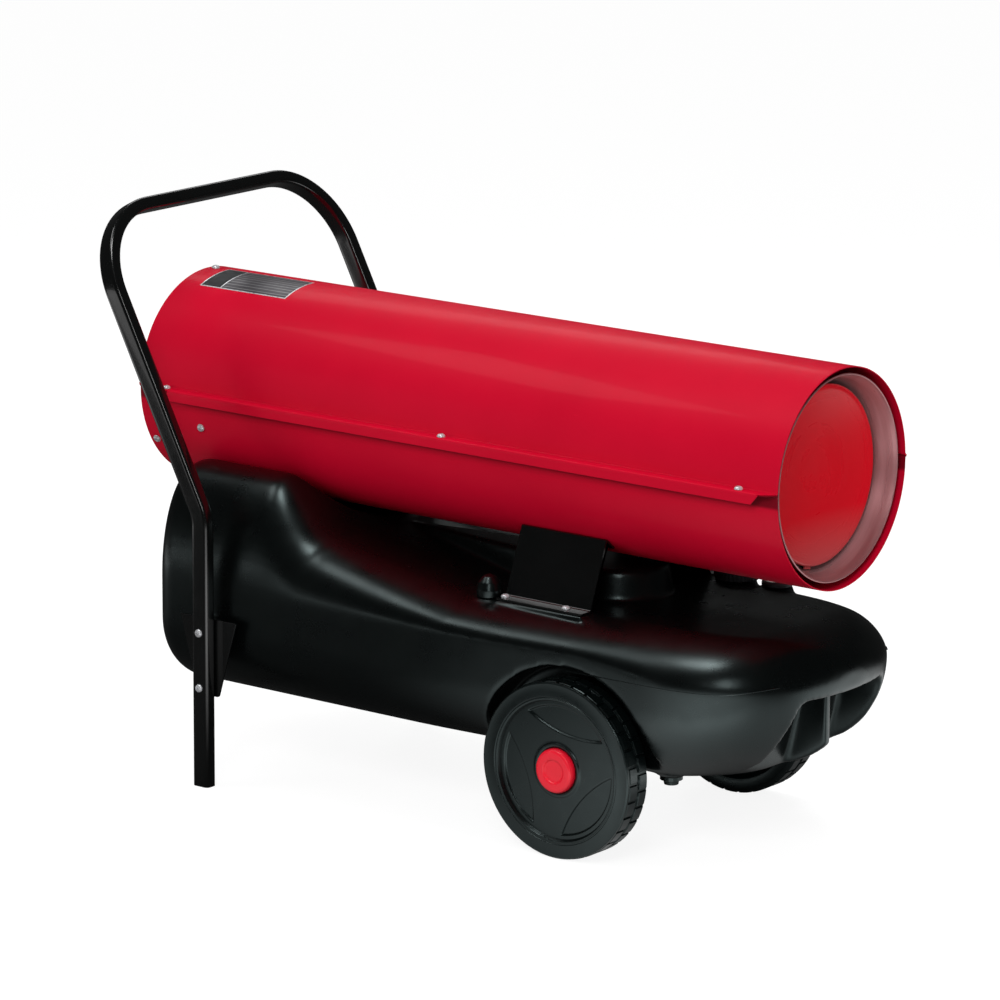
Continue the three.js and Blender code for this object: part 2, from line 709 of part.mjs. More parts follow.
// ---- saddle brackets --------------------------------------------------------------------------------
const saddleScrewY = (saddleFootY[0] + saddleFootY[1]) / 2;

function saddleBracket(side) {
  const footZ = padZ + seatGap + saddleSheet / 2;
  const cradleRadius = tubeRadius + seatGap + saddleSheet / 2 + 0.2;
  const flangeSpan = THREE.MathUtils.radToDeg(saddleFlange / tubeRadius);
  const cradle = tubeArc(cradleRadius, saddleTouchAngle - 90, saddleTouchAngle - flangeSpan - 90, 3);
  const line = [[saddleFootY[0], footZ], [saddleFootY[1], footZ], ...cradle];
  const outline = foldedSheet(line.map(([y, z]) => [side * y, z]), saddleSheet);
  const holes = saddleScrewX.map((x) => screwBore(place(x, side * saddleScrewY, footZ), up, 14));
  return cut(alongX(outline, ...saddleX), ...holes);
}

function cradlePad() {
  const [inner, outer] = [tubeRadius + seatGap + 0.4, tubeRadius + troughGap - seatGap - 0.4];
  const outline = [...tubeArc(outer, -128, -52, 16), ...tubeArc(inner, -52, -128, 16)];
  return alongX(outline, tankRearX + padInset, tankRearX + padInset + padLength);
}

// ---- burner parts ---------------------------------------------------------------------------------
// A radial tab on the tube's inside, at a given angle.
function tab(x0, x1, inner, outer, degrees, width) {
  const geometry = new THREE.BoxGeometry(x1 - x0, outer - inner, width);
  geometry.translate((x0 + x1) / 2, (inner + outer) / 2, 0);
  geometry.rotateX(THREE.MathUtils.degToRad(degrees));
  geometry.translate(0, 0, tubeAxisZ);
  return toSolid(geometry);
}

const tabAngles = [45, 135, 225, 315];
const tabReach = tubeInner - seatGap - 0.2;

function combustionChamber() {
  const tube = turned(
    ringProfile(chamberRadius - chamberWall, chamberRadius, chamberRearX, chamberFrontX), onAxis(), alongTube, 48,
  );
  const standoffX = chamberRearX + standoffInset;
  const standoffs = tabAngles.map((angle) => (
    tab(standoffX, standoffX + standoffWidth, chamberRadius - chamberWall / 2, tabReach, angle, standoffWidth)
  ));
  return join(tube, ...standoffs);
}

const sleeveInner = chamberRadius + seatGap;
const coneInnerAt = (x) => mix(sleeveInner, coneRadius - chamberWall, clamp01((x - chamberFrontX) / (coneFrontX - chamberFrontX)));

function outletCone() {
  const w = chamberWall * 1.5;
  const profile = [
    [sleeveInner, chamberFrontX - coneOverlap], [sleeveInner + w, chamberFrontX - coneOverlap],
    [sleeveInner + w, chamberFrontX], [coneRadius, coneFrontX - 3], [coneRadius + 1.5, coneFrontX - 1.5],
    [coneRadius, coneFrontX], [coneInnerAt(coneFrontX), coneFrontX], [sleeveInner, chamberFrontX],
  ];
  const tabs = tabAngles.map((angle) => tab(coneFrontX - 20, coneFrontX - 6, coneRadius - 3, tabReach, angle, 12));
  return join(turned(profile, onAxis(), alongTube, 48), ...tabs);
}

function flameBaffle() {
  const steps = 3;
  const t = baffleSheet;
  const dish = (r) => baffleX - baffleDish * (1 - (r / baffleRadius) ** 2);
  const front = Array.from({ length: steps + 1 }, (_, i) => (baffleRadius * i) / steps);
  const profile = [...front.map((r) => [r, dish(r) - t]), ...front.reverse().map((r) => [r, dish(r)])];
  const arms = [20, 140, 260].map((angle) => (
    tab(baffleX - 6, baffleX - 1, baffleRadius - 4, coneInnerAt(baffleX - 6) - 2 * seatGap, angle, 14)
  ));
  return join(turned(profile, onAxis(), alongTube, 40), ...arms);
}

const electrodePlace = { y: 26, z: tubeAxisZ + 12 };
const photocellPlace = { y: -44, z: tubeAxisZ + 26 };

function burnerHead() {
  const radius = chamberRadius - chamberWall - seatGap - 0.2;
  const slotOuter = radius - headRim;
  let disc = rod(radius, headX, headX + headThickness, onAxis(), alongTube, 48);
  for (let i = 0; i < airSlotCount; i += 1) {
    const angle = (i * 360) / airSlotCount + 12;
    disc = disc.subtract(
      tab(headX - 1, headX + headThickness + 1, slotOuter - airSlotLength, slotOuter, angle, airSlotWidth),
    );
  }
  return cut(
    disc,
    rod(nozzleRadius - 2, headX - 1, headX + 5, onAxis(), alongTube, 24),
    rod(11 + seatGap, headX - 1, headX + 5, place(0, electrodePlace.y, electrodePlace.z), alongTube, 16),
    rod(6, headX - 1, headX + 5, place(0, photocellPlace.y, photocellPlace.z), alongTube, 16),
  );
}

function fuelNozzle() {
  const seat = headX - seatGap;
  return turned([
    [0, nozzleRearX], [nozzleRadius, nozzleRearX], [nozzleRadius, seat - 6], [nozzleRadius + 5, seat - 6],
    [nozzleRadius + 5, seat], [nozzleRadius - 3, seat], [3, headX + 12], [0, headX + 12],
  ], onAxis(), alongTube, 24);
}

function electrodes() {
  const at = place(0, electrodePlace.y, electrodePlace.z);
  const seat = headX - seatGap;
  const body = turned([
    [0, seat - 26], [8, seat - 26], [8, seat - 5], [14, seat - 5], [14, seat], [10.5, seat], [10.5, headX + 8], [0, headX + 8],
  ], at, alongTube, 16);
  const pins = [-5, 5].map((dy) => rod(1.5, headX + 6, headX + 26, place(0, at.y + dy, at.z), alongTube, 8));
  return join(body, ...pins);
}

function photocell() {
  const seat = headX - seatGap;
  const at = place(0, photocellPlace.y, photocellPlace.z);
  return turned([[0, seat - 24], [7, seat - 24], [9, seat - 6], [12, seat - 4], [12, seat], [0, seat]], at, alongTube, 16);
}

// ---- fan, motor, pump and guard -------------------------------------------------------------------
function fanMotor() {
  const [rear, front] = motorX;
  const bore = boreRadius(shaftRadius);
  return turned([
    [bore, rear], [18, rear], [20, rear + 6], [motorRadius - 8, rear + 8], [motorRadius, rear + 16],
    [motorRadius, front - 16], [motorRadius - 8, front - 8], [20, front - 6], [16, front], [bore, front],
  ], onAxis(), alongTube);
}

const mountTop = tubeAxisZ - motorRadius - seatGap;

function motorMount() {
  const outer = tubeInner - seatGap - 0.2;
  const plateAngle = heightAngle(outer, mountTop - mountSheet);
  const strip = (sign) => [
    ...tubeArc(outer, -11, plateAngle, 4), ...tubeArc(outer - mountSheet, plateAngle, -11, 4),
  ].map(([y, z]) => [sign * y, z]);
  const half = outer * Math.cos(THREE.MathUtils.degToRad(plateAngle)) - 0.5;
  const plate = block(mountX[0], mountX[1], -half, half, mountTop - mountSheet, mountTop);
  const whole = join(plate, alongX(strip(1), ...mountX), alongX(strip(-1), ...mountX));
  return cut(whole, screwBore(sideSeat.at, sideSeat.outward, 12));
}

const pumpFrontX = motorX[0] - seatGap;
const pumpRearX = pumpFrontX - pumpLength;

function airPump() {
  const bore = boreRadius(shaftRadius);
  return turned([
    [bore, pumpFrontX], [motorRadius - 14, pumpFrontX], [pumpRadius, pumpFrontX - 6], [pumpRadius, pumpRearX],
    [24, pumpRearX], [24, pumpRearX + 18], [bore, pumpRearX + 18],
  ], onAxis(), alongTube);
}

function filterCover() {
  const front = pumpRearX - seatGap;
  const rear = front - filterLength;
  return turned([[0, rear], [pumpRadius - 6, rear], [pumpRadius, rear + 4], [pumpRadius, front], [0, front]], onAxis(), alongTube);
}

function motorShaft() {
  const flat = rod(shaftRadius, pumpRearX + 6, fanX[1] + 6, onAxis(), alongTube);
  const rotor = rod(22, pumpRearX + 3, pumpRearX + 15, onAxis(), alongTube);
  return join(flat, rotor);
}

function fan() {
  const [rear, front] = fanX;
  const bore = shaftRadius + seatGap;
  const hub = turned(ringProfile(bore, fanHubRadius, rear, front), onAxis(), alongTube);
  const middle = (rear + front) / 2;
  const blades = Array.from({ length: bladeCount }, (_, i) => {
    const blade = new THREE.BoxGeometry(bladeSheet, fanRadius - fanHubRadius + 6, bladeChord);
    blade.rotateY(THREE.MathUtils.degToRad(90 - bladePitch));
    blade.translate(middle, (fanRadius + fanHubRadius - 6) / 2, 0);
    blade.rotateX((i * 2 * Math.PI) / bladeCount);
    blade.translate(0, 0, tubeAxisZ);
    return toSolid(blade);
  });
  const sweptBy = rod(fanRadius, rear - bladeReach, front + bladeReach, onAxis(), alongTube, 48);
  const shaftHole = rod(bore, rear - bladeReach, front + bladeReach, onAxis(), alongTube);
  return join(hub, ...blades).intersect(sweptBy).subtract(shaftHole);
}

function fanGuard() {
  const outer = tubeInner - seatGap - 0.2;
  const radii = Array.from({ length: guardRingCount }, (_, i) => mix(guardHubRadius, outer, (i + 1) / (guardRingCount + 1)));
  const rings = radii.map((r) => (
    turned(ringProfile(r - guardBar / 2, r + guardBar / 2, guardX, guardX + guardBar), onAxis(), alongTube, 20)
  ));
  const sleeve = turned(ringProfile(outer - 1.5, outer, guardX, guardX + guardSleeve), onAxis(), alongTube, 48);
  const hub = rod(guardHubRadius, guardX, guardX + guardBar, onAxis(), alongTube, 16);
  const spokes = [0, 60, 120, 180, 240, 300].map((angle) => (
    tab(guardX, guardX + guardBar, guardHubRadius - joinDepth, outer - 0.8, angle, guardBar)
  ));
  const holes = Object.values(guardSeats).map((seat) => screwBore(seat.at, seat.outward, 12));
  return cut(join(sleeve, hub, ...rings, ...spokes), ...holes);
}

function transformer() {
  const top = mountTop - mountSheet - seatGap;
  const [rear, front, half] = [mountX[0] - 8, mountX[1] + 26, transformerWidth / 2];
  const body = block(rear, front, -half, half, top - transformerHeight, top);
  const terminals = [-0.4, 0.4].map((share) => (
    rod(7, front - joinDepth, front + 12, place(0, share * half, top - transformerHeight / 2), alongTube, 12)
  ));
  return join(body, ...terminals);
}

// ---- hoses ----------------------------------------------------------------------------------------
const hoseDegrees = -90 + hoseEntryAngle;
function hoseCrossing(radius) {
  const [y, z] = tubePoint(radius, hoseDegrees);
  return place(hoseHoleX, y, z);
}
const hoseInward = hoseCrossing(0).sub(hoseCrossing(1)).normalize();

function hose(points, radius, steps) {
  const path = new THREE.CatmullRomCurve3(points, false, 'centripetal');
  const circle = new THREE.Shape();
  circle.absarc(0, 0, radius, 0, Math.PI * 2, false);
  const geometry = new THREE.ExtrudeGeometry(circle, { steps, curveSegments: 4, extrudePath: path });
  return toSolid(geometry);
}

const pickupBarbZ = padZ + 15;
const pickupBarbX = pickupX - 34;

function fuelHose() {
  const startX = pickupBarbX - 2 * seatGap;
  const start = place(startX, fittingY, pickupBarbZ);
  const end = hoseCrossing(tubeRadius + 18);
  const between = (along, in_, up_) => place(mix(start.x, end.x, along), mix(start.y, end.y, in_), mix(start.z, end.z, up_));
  return hose([
    start, between(0.09, 0.01, 0.05), between(0.33, 0.24, 0.4), between(0.62, 0.55, 0.82), between(0.88, 0.85, 0.98),
    hoseCrossing(tubeRadius + 11), hoseCrossing(tubeRadius + 3), hoseCrossing(tubeRadius - 20), hoseCrossing(90), hoseCrossing(50),
    hoseCrossing(nozzleRadius + seatGap + 0.4),
  ], hoseRadius, 30);
}

function airHose() {
  const angle = 150;
  const at = (x, radius) => place(x, ...tubePoint(radius, angle));
  const outer = (fanRadius + tubeInner) / 2;
  const startX = pumpRearX + pumpLength / 2;
  const endX = nozzleRearX + 8;
  return hose([
    at(startX, pumpRadius + seatGap + 0.3), at(startX, pumpRadius + 40), at(startX + 8, outer - 14), at(startX + 30, outer),
    at(fanX[0], outer), at(fanX[1], outer), at(endX - 30, outer - 2), at(endX - 6, outer - 24), at(endX, outer - 60),
    at(endX, nozzleRadius + 30), at(endX, nozzleRadius + seatGap + 0.3),
  ], airHoseRadius, 34);
}

// ---- control box ----------------------------------------------------------------------------------
const panelMidZ = (boxZ[0] + boxZ[1]) / 2;
const rockerPivot = { y: boxFaceY - 4, z: panelMidZ };
const glandZ = boxZ[0] + 20;
const glandY = 176;

function controlBox() {
  const outer = block(...boxX, 100, boxFaceY, ...boxZ);
  const inner = block(boxX[0] + boxWall, boxX[1] - boxWall, 90, boxFaceY - boxWall, boxZ[0] + boxWall, boxZ[1] - boxWall);
  const shellSpace = rod(tubeRadius + seatGap + 0.2, boxX[0] - 10, boxX[1] + 10, onAxis(), alongTube, roundSides);
  const window = block(
    rockerX - rockerLength / 2 - seatGap, rockerX + rockerLength / 2 + seatGap, boxFaceY - 10, boxFaceY + 1,
    panelMidZ - rockerRadius - seatGap, panelMidZ + rockerRadius + seatGap,
  );
  return cut(
    outer, inner, shellSpace, window,
    rod(boreRadius(knobStem), boxFaceY - 10, boxFaceY + 1, place(knobX, 0, panelMidZ), across(1)),
    rod(boreRadius(resetRadius), boxFaceY - 10, boxFaceY + 1, place(resetX, 0, panelMidZ), across(1)),
    rod(glandRadius + seatGap, boxX[0] - 1, boxX[0] + 10, place(0, glandY, glandZ), alongTube, 16),
  );
}

function thermostatKnob() {
  const at = place(knobX, 0, panelMidZ);
  const foot = boxFaceY + seatGap;
  const body = turned([
    [0, boxFaceY - 14], [knobStem, boxFaceY - 14], [knobStem, foot], [knobRadius, foot], [knobRadius, foot + 5],
    [knobRadius - 3, foot + knobHeight - 2], [knobRadius - 5, foot + knobHeight], [0, foot + knobHeight],
  ], at, across(1), 24);
  const pointer = block(knobX - 1.5, knobX + 1.5, foot + knobHeight - 3, foot + knobHeight + 1.5, panelMidZ, panelMidZ + knobRadius - 4);
  return join(body, pointer);
}

function powerSwitch() {
  const geometry = new THREE.CylinderGeometry(rockerRadius, rockerRadius, rockerLength, 24);
  geometry.rotateZ(Math.PI / 2);
  geometry.translate(rockerX, rockerPivot.y, rockerPivot.z);
  const drum = toSolid(geometry);
  const slope = Math.tan(THREE.MathUtils.degToRad(rockerTilt));
  const faceY = rockerPivot.y + 6.5;
  const r = rockerRadius + 2;
  const trim = [
    [faceY - r * slope, panelMidZ - r], [faceY + r, panelMidZ - r], [faceY + r, panelMidZ + r], [faceY + r * slope, panelMidZ + r],
  ];
  return drum.subtract(alongX(trim, rockerX - rockerLength, rockerX + rockerLength));
}

function resetButton() {
  return turned([
    [0, boxFaceY - 12], [resetRadius + 2, boxFaceY - 12], [resetRadius + 2, boxFaceY - boxWall - seatGap],
    [resetRadius, boxFaceY - boxWall - seatGap], [resetRadius, boxFaceY + resetTravel + 1.5], [resetRadius - 1, boxFaceY + resetTravel + 2.5],
    [0, boxFaceY + resetTravel + 2.5],
  ], place(resetX, 0, panelMidZ), across(1));
}

function cableGland() {
  const face = boxX[0] - seatGap;
  return turned([
    [4, face - 18], [glandRadius - 1, face - 18], [glandRadius + 3, face - 12], [glandRadius + 3, face],
    [glandRadius, face], [glandRadius, boxX[0] + 8], [4, boxX[0] + 8],
  ], place(0, glandY, glandZ), alongTube, 16);
}

// ---- handle, legs and leg brackets --------------------------------------------------------------------------
// The section's outline: `deep` lies square to the plane of the U and `wide` lies in it.
function handleSection(deep, wide, corner, steps) {
  const points = [];
  for (let quadrant = 0; quadrant < 4; quadrant += 1) {
    const su = quadrant === 0 || quadrant === 3 ? 1 : -1;
    const sv = quadrant < 2 ? 1 : -1;
    for (let i = 0; i <= steps; i += 1) {
      const a = ((quadrant + i / steps) * Math.PI) / 2;
      points.push([su * (deep / 2 - corner) + corner * Math.cos(a), sv * (wide / 2 - corner) + corner * Math.sin(a)]);
    }
  }
  return points;
}

// Centre line from the near foot round the U to the far foot, each station with its two section axes.
function handleStations(footZ) {
  const half = [];
  half.push({ at: place(legX, -legY, footZ), turn: 0 });
  const kneeStart = kneeZ - kneeRadius * Math.tan(lean / 2);
  for (let i = 0; i <= 3; i += 1) {
    const a = (lean * i) / 3;
    const at = place(legX - kneeRadius * (1 - Math.cos(a)), -legY, kneeStart + kneeRadius * Math.sin(a));
    half.push({ at, turn: a });
  }
  const incline = place(-Math.sin(lean), 0, Math.cos(lean));
  const slant = (handleTopZ - kneeZ) / Math.cos(lean);
  const stations = half.map(({ at, turn }) => ({
    at, deepAxis: place(Math.cos(turn), 0, Math.sin(turn)), wideAxis: place(0, 1, 0),
  }));
  const deepAxis = place(Math.cos(lean), 0, Math.sin(lean));
  for (let i = 0; i <= 6; i += 1) {
    const a = ((Math.PI / 2) * i) / 6;
    const rise = slant - handleBend + handleBend * Math.sin(a);
    const y = -legY + handleBend * (1 - Math.cos(a));
    const at = place(legX, y, kneeZ).addScaledVector(incline, rise);
    const wideAxis = place(0, Math.cos(a), 0).addScaledVector(incline, -Math.sin(a));
    stations.push({ at, deepAxis, wideAxis });
  }
  const mirrored = [...stations].reverse().map(({ at, deepAxis, wideAxis }) => ({
    at: place(at.x, -at.y, at.z), deepAxis, wideAxis: place(wideAxis.x, -wideAxis.y, wideAxis.z),
  }));
  return [...stations, ...mirrored];
}

function sweep(section, stations) {
  return loft(stations.map(({ at, deepAxis, wideAxis }) => (
    section.map(([u, v]) => at.clone().addScaledVector(deepAxis, u).addScaledVector(wideAxis, v))
  )));
}

function handleFrame() {
  const outer = sweep(handleSection(handleDeep, handleWide, handleCorner, 2), handleStations(0));
  const hollowSection = handleSection(handleDeep - 2 * handleWall, handleWide - 2 * handleWall, handleCorner, 1);
  const hollow = sweep(hollowSection, handleStations(handleWall * 2));
  const holes = Object.values(sides).flatMap((side) => legScrewZ.map((z) => (
    screwBore(place(legX, side * (legY + handleWide / 2), z), across(side), handleWide + 4)
  )));
  return cut(outer, hollow, ...holes);
}

function legBracket(side) {
  const outerY = legY - handleWide / 2 - seatGap;
  const [topHalf, footHalf] = [legPlateTopWidth / 2, legPlateFootWidth / 2];
  const [footZ, topZ] = legPlateZ;
  const outline = [[legX - topHalf, topZ], [legX - footHalf, footZ], [legX + footHalf, footZ], [legX + topHalf, topZ]];
  const plate = alongY(outline, side * (outerY - legPlateSheet), side * outerY);
  return cut(plate, ...legScrewZ.map((z) => screwBore(place(legX, side * outerY, z), across(side), legPlateSheet + 4)));
}

// ---- wheels ---------------------------------------------------------------------------------------
// A ring of tread blocks with narrow grooves between them.
function treadBlocks(from, to, side) {
  const outline = new THREE.Shape();
  const base = wheelRadius - lugDepth - 0.5;
  const pitch = (2 * Math.PI) / lugCount;
  for (let i = 0; i < lugCount; i += 1) {
    const marks = [[base, 0], [wheelRadius, 0.04], [wheelRadius, 0.76], [base, 0.8]];
    marks.forEach(([r, share], k) => {
      const a = (i + share) * pitch;
      const point = [r * Math.cos(a), axleZ + r * Math.sin(a)];
      if (i === 0 && k === 0) outline.moveTo(...point);
      else outline.lineTo(...point);
    });
  }
  const hole = new THREE.Path();
  hole.absarc(0, axleZ, base - 6, 0, Math.PI * 2, true);
  outline.holes.push(hole);
  return alongY(outline, side * (wheelInnerY + from), side * (wheelInnerY + to));
}

// Lens between a circle about the axle and a shallow arc that bulges towards it.
function wheelPocket(degrees, side) {
  const halfSpan = Math.PI / 4;
  const halfChord = pocketRadius * Math.sin(halfSpan);
  const sagitta = pocketRadius * Math.cos(halfSpan) - pocketReach;
  const radius = (halfChord ** 2 + sagitta ** 2) / (2 * sagitta);
  const middle = THREE.MathUtils.degToRad(degrees);
  const [cx, cz] = [(pocketReach + radius) * Math.cos(middle), (pocketReach + radius) * Math.sin(middle)];
  const reach = Math.asin(halfChord / radius);
  const outline = new THREE.Shape();
  outline.absarc(0, 0, pocketRadius, middle - halfSpan, middle + halfSpan, false);
  outline.absarc(cx, cz, radius, middle + Math.PI - reach, middle + Math.PI + reach, false);
  const top = wheelOuterY - discDepth;
  return alongY(outline, side * (top - pocketDepth), side * (top + 1)).translate([0, 0, axleZ]);
}

function wheel(side) {
  const w = wheelWidth;
  const tread = wheelRadius - lugDepth;
  const bore = boreRadius(axleRadius);
  const seatRadius = capRadius + seatGap;
  const disc = w - discDepth;
  const profile = [
    [bore, 0], [24, 0], [26, 9], [93, 10], [101, 1], [tread - 3, 1], [tread, 5], [tread, w - 5], [tread - 2, w],
    [103, w], [99, w - 2], [97, disc], [40, disc], [38, disc + 2], [seatRadius, disc + 2], [seatRadius, capSeat], [bore, capSeat],
  ];
  const body = turned(profile.map(([r, h]) => [r, wheelInnerY + h]), place(0, 0, axleZ), across(side), 32);
  const pockets = [0, 120, 240].map((turn) => wheelPocket(pocketAngle + turn, side));
  return cut(body.add(treadBlocks(4, w - 4, side)), ...pockets);
}

function hubCap(side) {
  const foot = wheelInnerY + capSeat + seatGap;
  const top = foot + capHeight;
  const inside = axleRadius + seatGap;
  return turned([
    [inside, foot], [capRadius - 0.3, foot], [capRadius - 0.3, top - 4], [capRadius - 4, top], [17, top],
    [15, top - 2], [0, top - 2], [0, top - 7], [inside, top - 7],
  ], place(0, 0, axleZ), across(side));
}

function axle() {
  const reach = wheelInnerY + capSeat + capHeight - 8;
  return rod(axleRadius, -reach, reach, place(0, 0, axleZ), across(1));
}

// ---- tank fittings --------------------------------------------------------------------------------
const neckTop = deckZ + neckHeight;
const fillerAt = place(fillerX, fittingY, 0);

function strainer() {
  const rim = neckTop - 1.2;
  const seat = neckTop - 3 + seatGap;
  return turned([
    [0, deckZ - 34], [neckBore - 2, deckZ - 34], [neckBore - 0.6, seat], [neckBore + 1.5, seat], [neckBore + 1.5, rim],
    [neckBore - 2, rim], [neckBore - 3.2, deckZ - 32], [0, deckZ - 32],
  ], fillerAt, up, 24);
}

function fillerGasket() {
  return turned(ringProfile(neckBore - 2, neckRadius - 0.5, neckTop + seatGap, neckTop + seatGap + gasketHeight), fillerAt, up, 24);
}

function fillerCap() {
  const seat = neckTop + 2 * seatGap + gasketHeight;
  const inner = neckRadius + 0.6;
  const body = turned([
    [0, seat], [inner, seat], [inner, deckZ + 3], [capSkirt - 2, deckZ + 3], [capSkirt, deckZ + 6], [capSkirt, seat + 1],
    [capSkirt - 3, seat + 5], [0, seat + 5],
  ], fillerAt, up);
  const grip = block(fillerX - capSkirt + 6, fillerX + capSkirt - 6, fittingY - 4, fittingY + 4, seat + 3, seat + 13);
  return join(body, grip);
}

function breatherCap() {
  const seat = padZ + seatGap;
  return turned([
    [0, seat - 12], [5.5, seat - 12], [5.5, seat], [breatherRadius, seat], [breatherRadius, seat + 10],
    [breatherRadius - 3, seat + 20], [breatherRadius - 10, seat + 28], [0, seat + breatherHeight],
  ], place(breatherX, -fittingY, 0), up);
}

function pickupFitting() {
  const seat = padZ + seatGap;
  const body = turned([
    [0, seat - 150], [4, seat - 150], [4, seat - 14], [7.5, seat - 14], [7.5, seat], [15, seat], [15, seat + 8], [9, seat + 10],
    [9, seat + 21], [0, seat + 23],
  ], place(pickupX, fittingY, 0), up, 12);
  const barb = rod(3.4, 0, pickupX - pickupBarbX, place(pickupX, fittingY, pickupBarbZ), place(-1, 0, 0), 12);
  return join(body, barb);
}

function fuelGauge() {
  const seat = padZ + seatGap;
  return turned([
    [0, seat - 12], [11.5, seat - 12], [11.5, seat], [gaugeRadius, seat], [gaugeRadius, seat + 5], [gaugeRadius - 3, seat + 8],
    [0, seat + 8],
  ], place(gaugeX, fittingY, 0), up, 24);
}

function drainPlug() {
  const seat = tankBottomZ - 3 - seatGap;
  return turned([
    [0, seat - 12], [10, seat - 12], [11, seat - 7], [drainRadius - 2, seat - 5], [drainRadius - 2, seat], [7.6, seat],
    [7.6, seat + 16], [0, seat + 16],
  ], place(drainX, drainY, 0), up, 16);
}

// ---- assembly -------------------------------------------------------------------------------------
add('fuel_tank', fuelTank(), 'tankPlastic');
add('filler_strainer', strainer(), 'steel');
add('filler_gasket', fillerGasket(), 'rubber');
add('filler_cap', fillerCap(), 'darkPlastic');
add('fuel_gauge', fuelGauge(), 'darkPlastic');
add('breather_cap', breatherCap(), 'tankPlastic');
add('pickup_fitting', pickupFitting(), 'brass');
add('drain_plug', drainPlug(), 'tankPlastic');
add('fuel_hose', fuelHose(), 'rubber');
add('air_hose', airHose(), 'rubber');

add('upper_shell', upperShell(), 'redPaint');
add('lower_shell', lowerShell(), 'redPaint');
add('outlet_cone', outletCone(), 'liner');
add('combustion_chamber', combustionChamber(), 'steel');
add('flame_baffle', flameBaffle(), 'redPaint');
add('burner_head', burnerHead(), 'steel');
add('fuel_nozzle', fuelNozzle(), 'brass');
add('ignition_electrodes', electrodes(), 'ceramic');
add('photocell', photocell(), 'darkPlastic');

add('fan_motor', fanMotor(), 'blackPaint');
add('motor_mount', motorMount(), 'steel');
add('motor_shaft', motorShaft(), 'steel');
add('fan', fan(), 'aluminium');
add('air_pump', airPump(), 'aluminium');
add('air_filter_cover', filterCover(), 'darkPlastic');
add('fan_guard', fanGuard(), 'blackPaint');
add('ignition_transformer', transformer(), 'darkPlastic');

add('control_box', controlBox(), 'blackPaint');
add('thermostat_knob', thermostatKnob(), 'darkPlastic');
add('power_switch', powerSwitch(), 'redPlastic');
add('reset_button', resetButton(), 'redPlastic');
add('cable_gland', cableGland(), 'darkPlastic');

add('handle_frame', handleFrame(), 'blackPaint');
add('rear_cradle_pad', cradlePad(), 'rubber');
add('axle', axle(), 'steel');

for (const [name, side] of Object.entries(sides)) {
  add(`saddle_bracket_${name}`, saddleBracket(side), 'blackPaint');
  add(`leg_bracket_${name}`, legBracket(side), 'blackPaint');
  add(`wheel_${name}`, wheel(side), 'wheelPlastic');
  add(`hub_cap_${name}`, hubCap(side), 'redPlastic');
  seamScrewX.forEach((x, i) => {
    addScrew(`seam_screw_${name}_${i + 1}`, place(x, side * seamScrewY, upperFlangeZ), up, 12);
  });
  saddleScrewX.forEach((x, i) => {
    const top = padZ + seatGap + saddleSheet;
    addScrew(`saddle_screw_${name}_${i + 1}`, place(x, side * saddleScrewY, top), up, 15);
  });
  legScrewZ.forEach((z, i) => {
    const length = i === 0 ? handleWide + 14 : handleWide + 6;
    addScrew(`leg_screw_${name}_${i + 1}`, place(legX, side * (legY + handleWide / 2), z), across(side), length);
  });
}
addScrew('motor_screw_near', sideSeat.at, sideSeat.outward, 7);
addScrew('guard_screw_near', guardSeats.near.at, guardSeats.near.outward, 7);
addScrew('guard_screw_top', guardSeats.top.at, guardSeats.top.outward, 7);

// The origin lies on the floor under the centre of the whole heater.
const bounds = new THREE.Box3().setFromObject(assembly);
const centre = bounds.getCenter(new THREE.Vector3());
assembly.position.set(-centre.x, -centre.y, -bounds.min.z);

export default heater;
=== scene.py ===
import json
import math

import bmesh
import bpy
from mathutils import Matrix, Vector


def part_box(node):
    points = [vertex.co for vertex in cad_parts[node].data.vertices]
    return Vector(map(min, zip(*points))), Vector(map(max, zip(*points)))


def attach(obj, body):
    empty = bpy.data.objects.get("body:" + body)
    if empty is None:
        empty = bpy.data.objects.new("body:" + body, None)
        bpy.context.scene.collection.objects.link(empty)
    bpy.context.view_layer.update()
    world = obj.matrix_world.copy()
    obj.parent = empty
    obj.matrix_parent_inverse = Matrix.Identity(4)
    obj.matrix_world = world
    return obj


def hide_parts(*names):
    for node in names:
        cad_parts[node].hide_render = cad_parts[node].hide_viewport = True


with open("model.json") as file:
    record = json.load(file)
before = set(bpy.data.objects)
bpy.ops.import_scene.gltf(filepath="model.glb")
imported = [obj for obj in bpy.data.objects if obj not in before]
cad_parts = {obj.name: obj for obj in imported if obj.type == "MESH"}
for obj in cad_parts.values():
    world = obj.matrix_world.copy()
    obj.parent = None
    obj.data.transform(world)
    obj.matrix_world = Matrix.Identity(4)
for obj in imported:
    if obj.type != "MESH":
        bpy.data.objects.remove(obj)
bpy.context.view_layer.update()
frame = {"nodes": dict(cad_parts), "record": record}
MM = 0.001

# ---- places taken from the frame ----
# Pieces are drawn in millimetres from the wheel axle: +X out of the outlet, Z up from the floor.
SHIFT = sum(corner.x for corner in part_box("axle")) / 2 / MM


def box_mm(node):
    return [Vector((p.x / MM - SHIFT, p.y / MM, p.z / MM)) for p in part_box(node)]


upper_low, upper_high = box_mm("upper_shell")
lower_low, lower_high = box_mm("lower_shell")
TUBE_REAR, TUBE_FRONT = upper_low.x, upper_high.x
TUBE_RADIUS = (upper_high.z - lower_low.z) / 2
AXIS_Z = (upper_high.z + lower_low.z) / 2
TUBE_CENTRE, ALONG, UP = (0, 0, AXIS_Z), (1, 0, 0), (0, 0, 1)
SEAM_Z = lower_high.z
UPPER_FLANGE_Y, LOWER_FLANGE_Y = upper_high.y, lower_high.y
LIP_BOTTOM_Z = upper_low.z
SHEET = 1.5
SEAT_GAP = 0.3
LIP_REAR, LIP_FRONT, LIP_CHAMFER = TUBE_REAR + 65, TUBE_FRONT - 21, 11

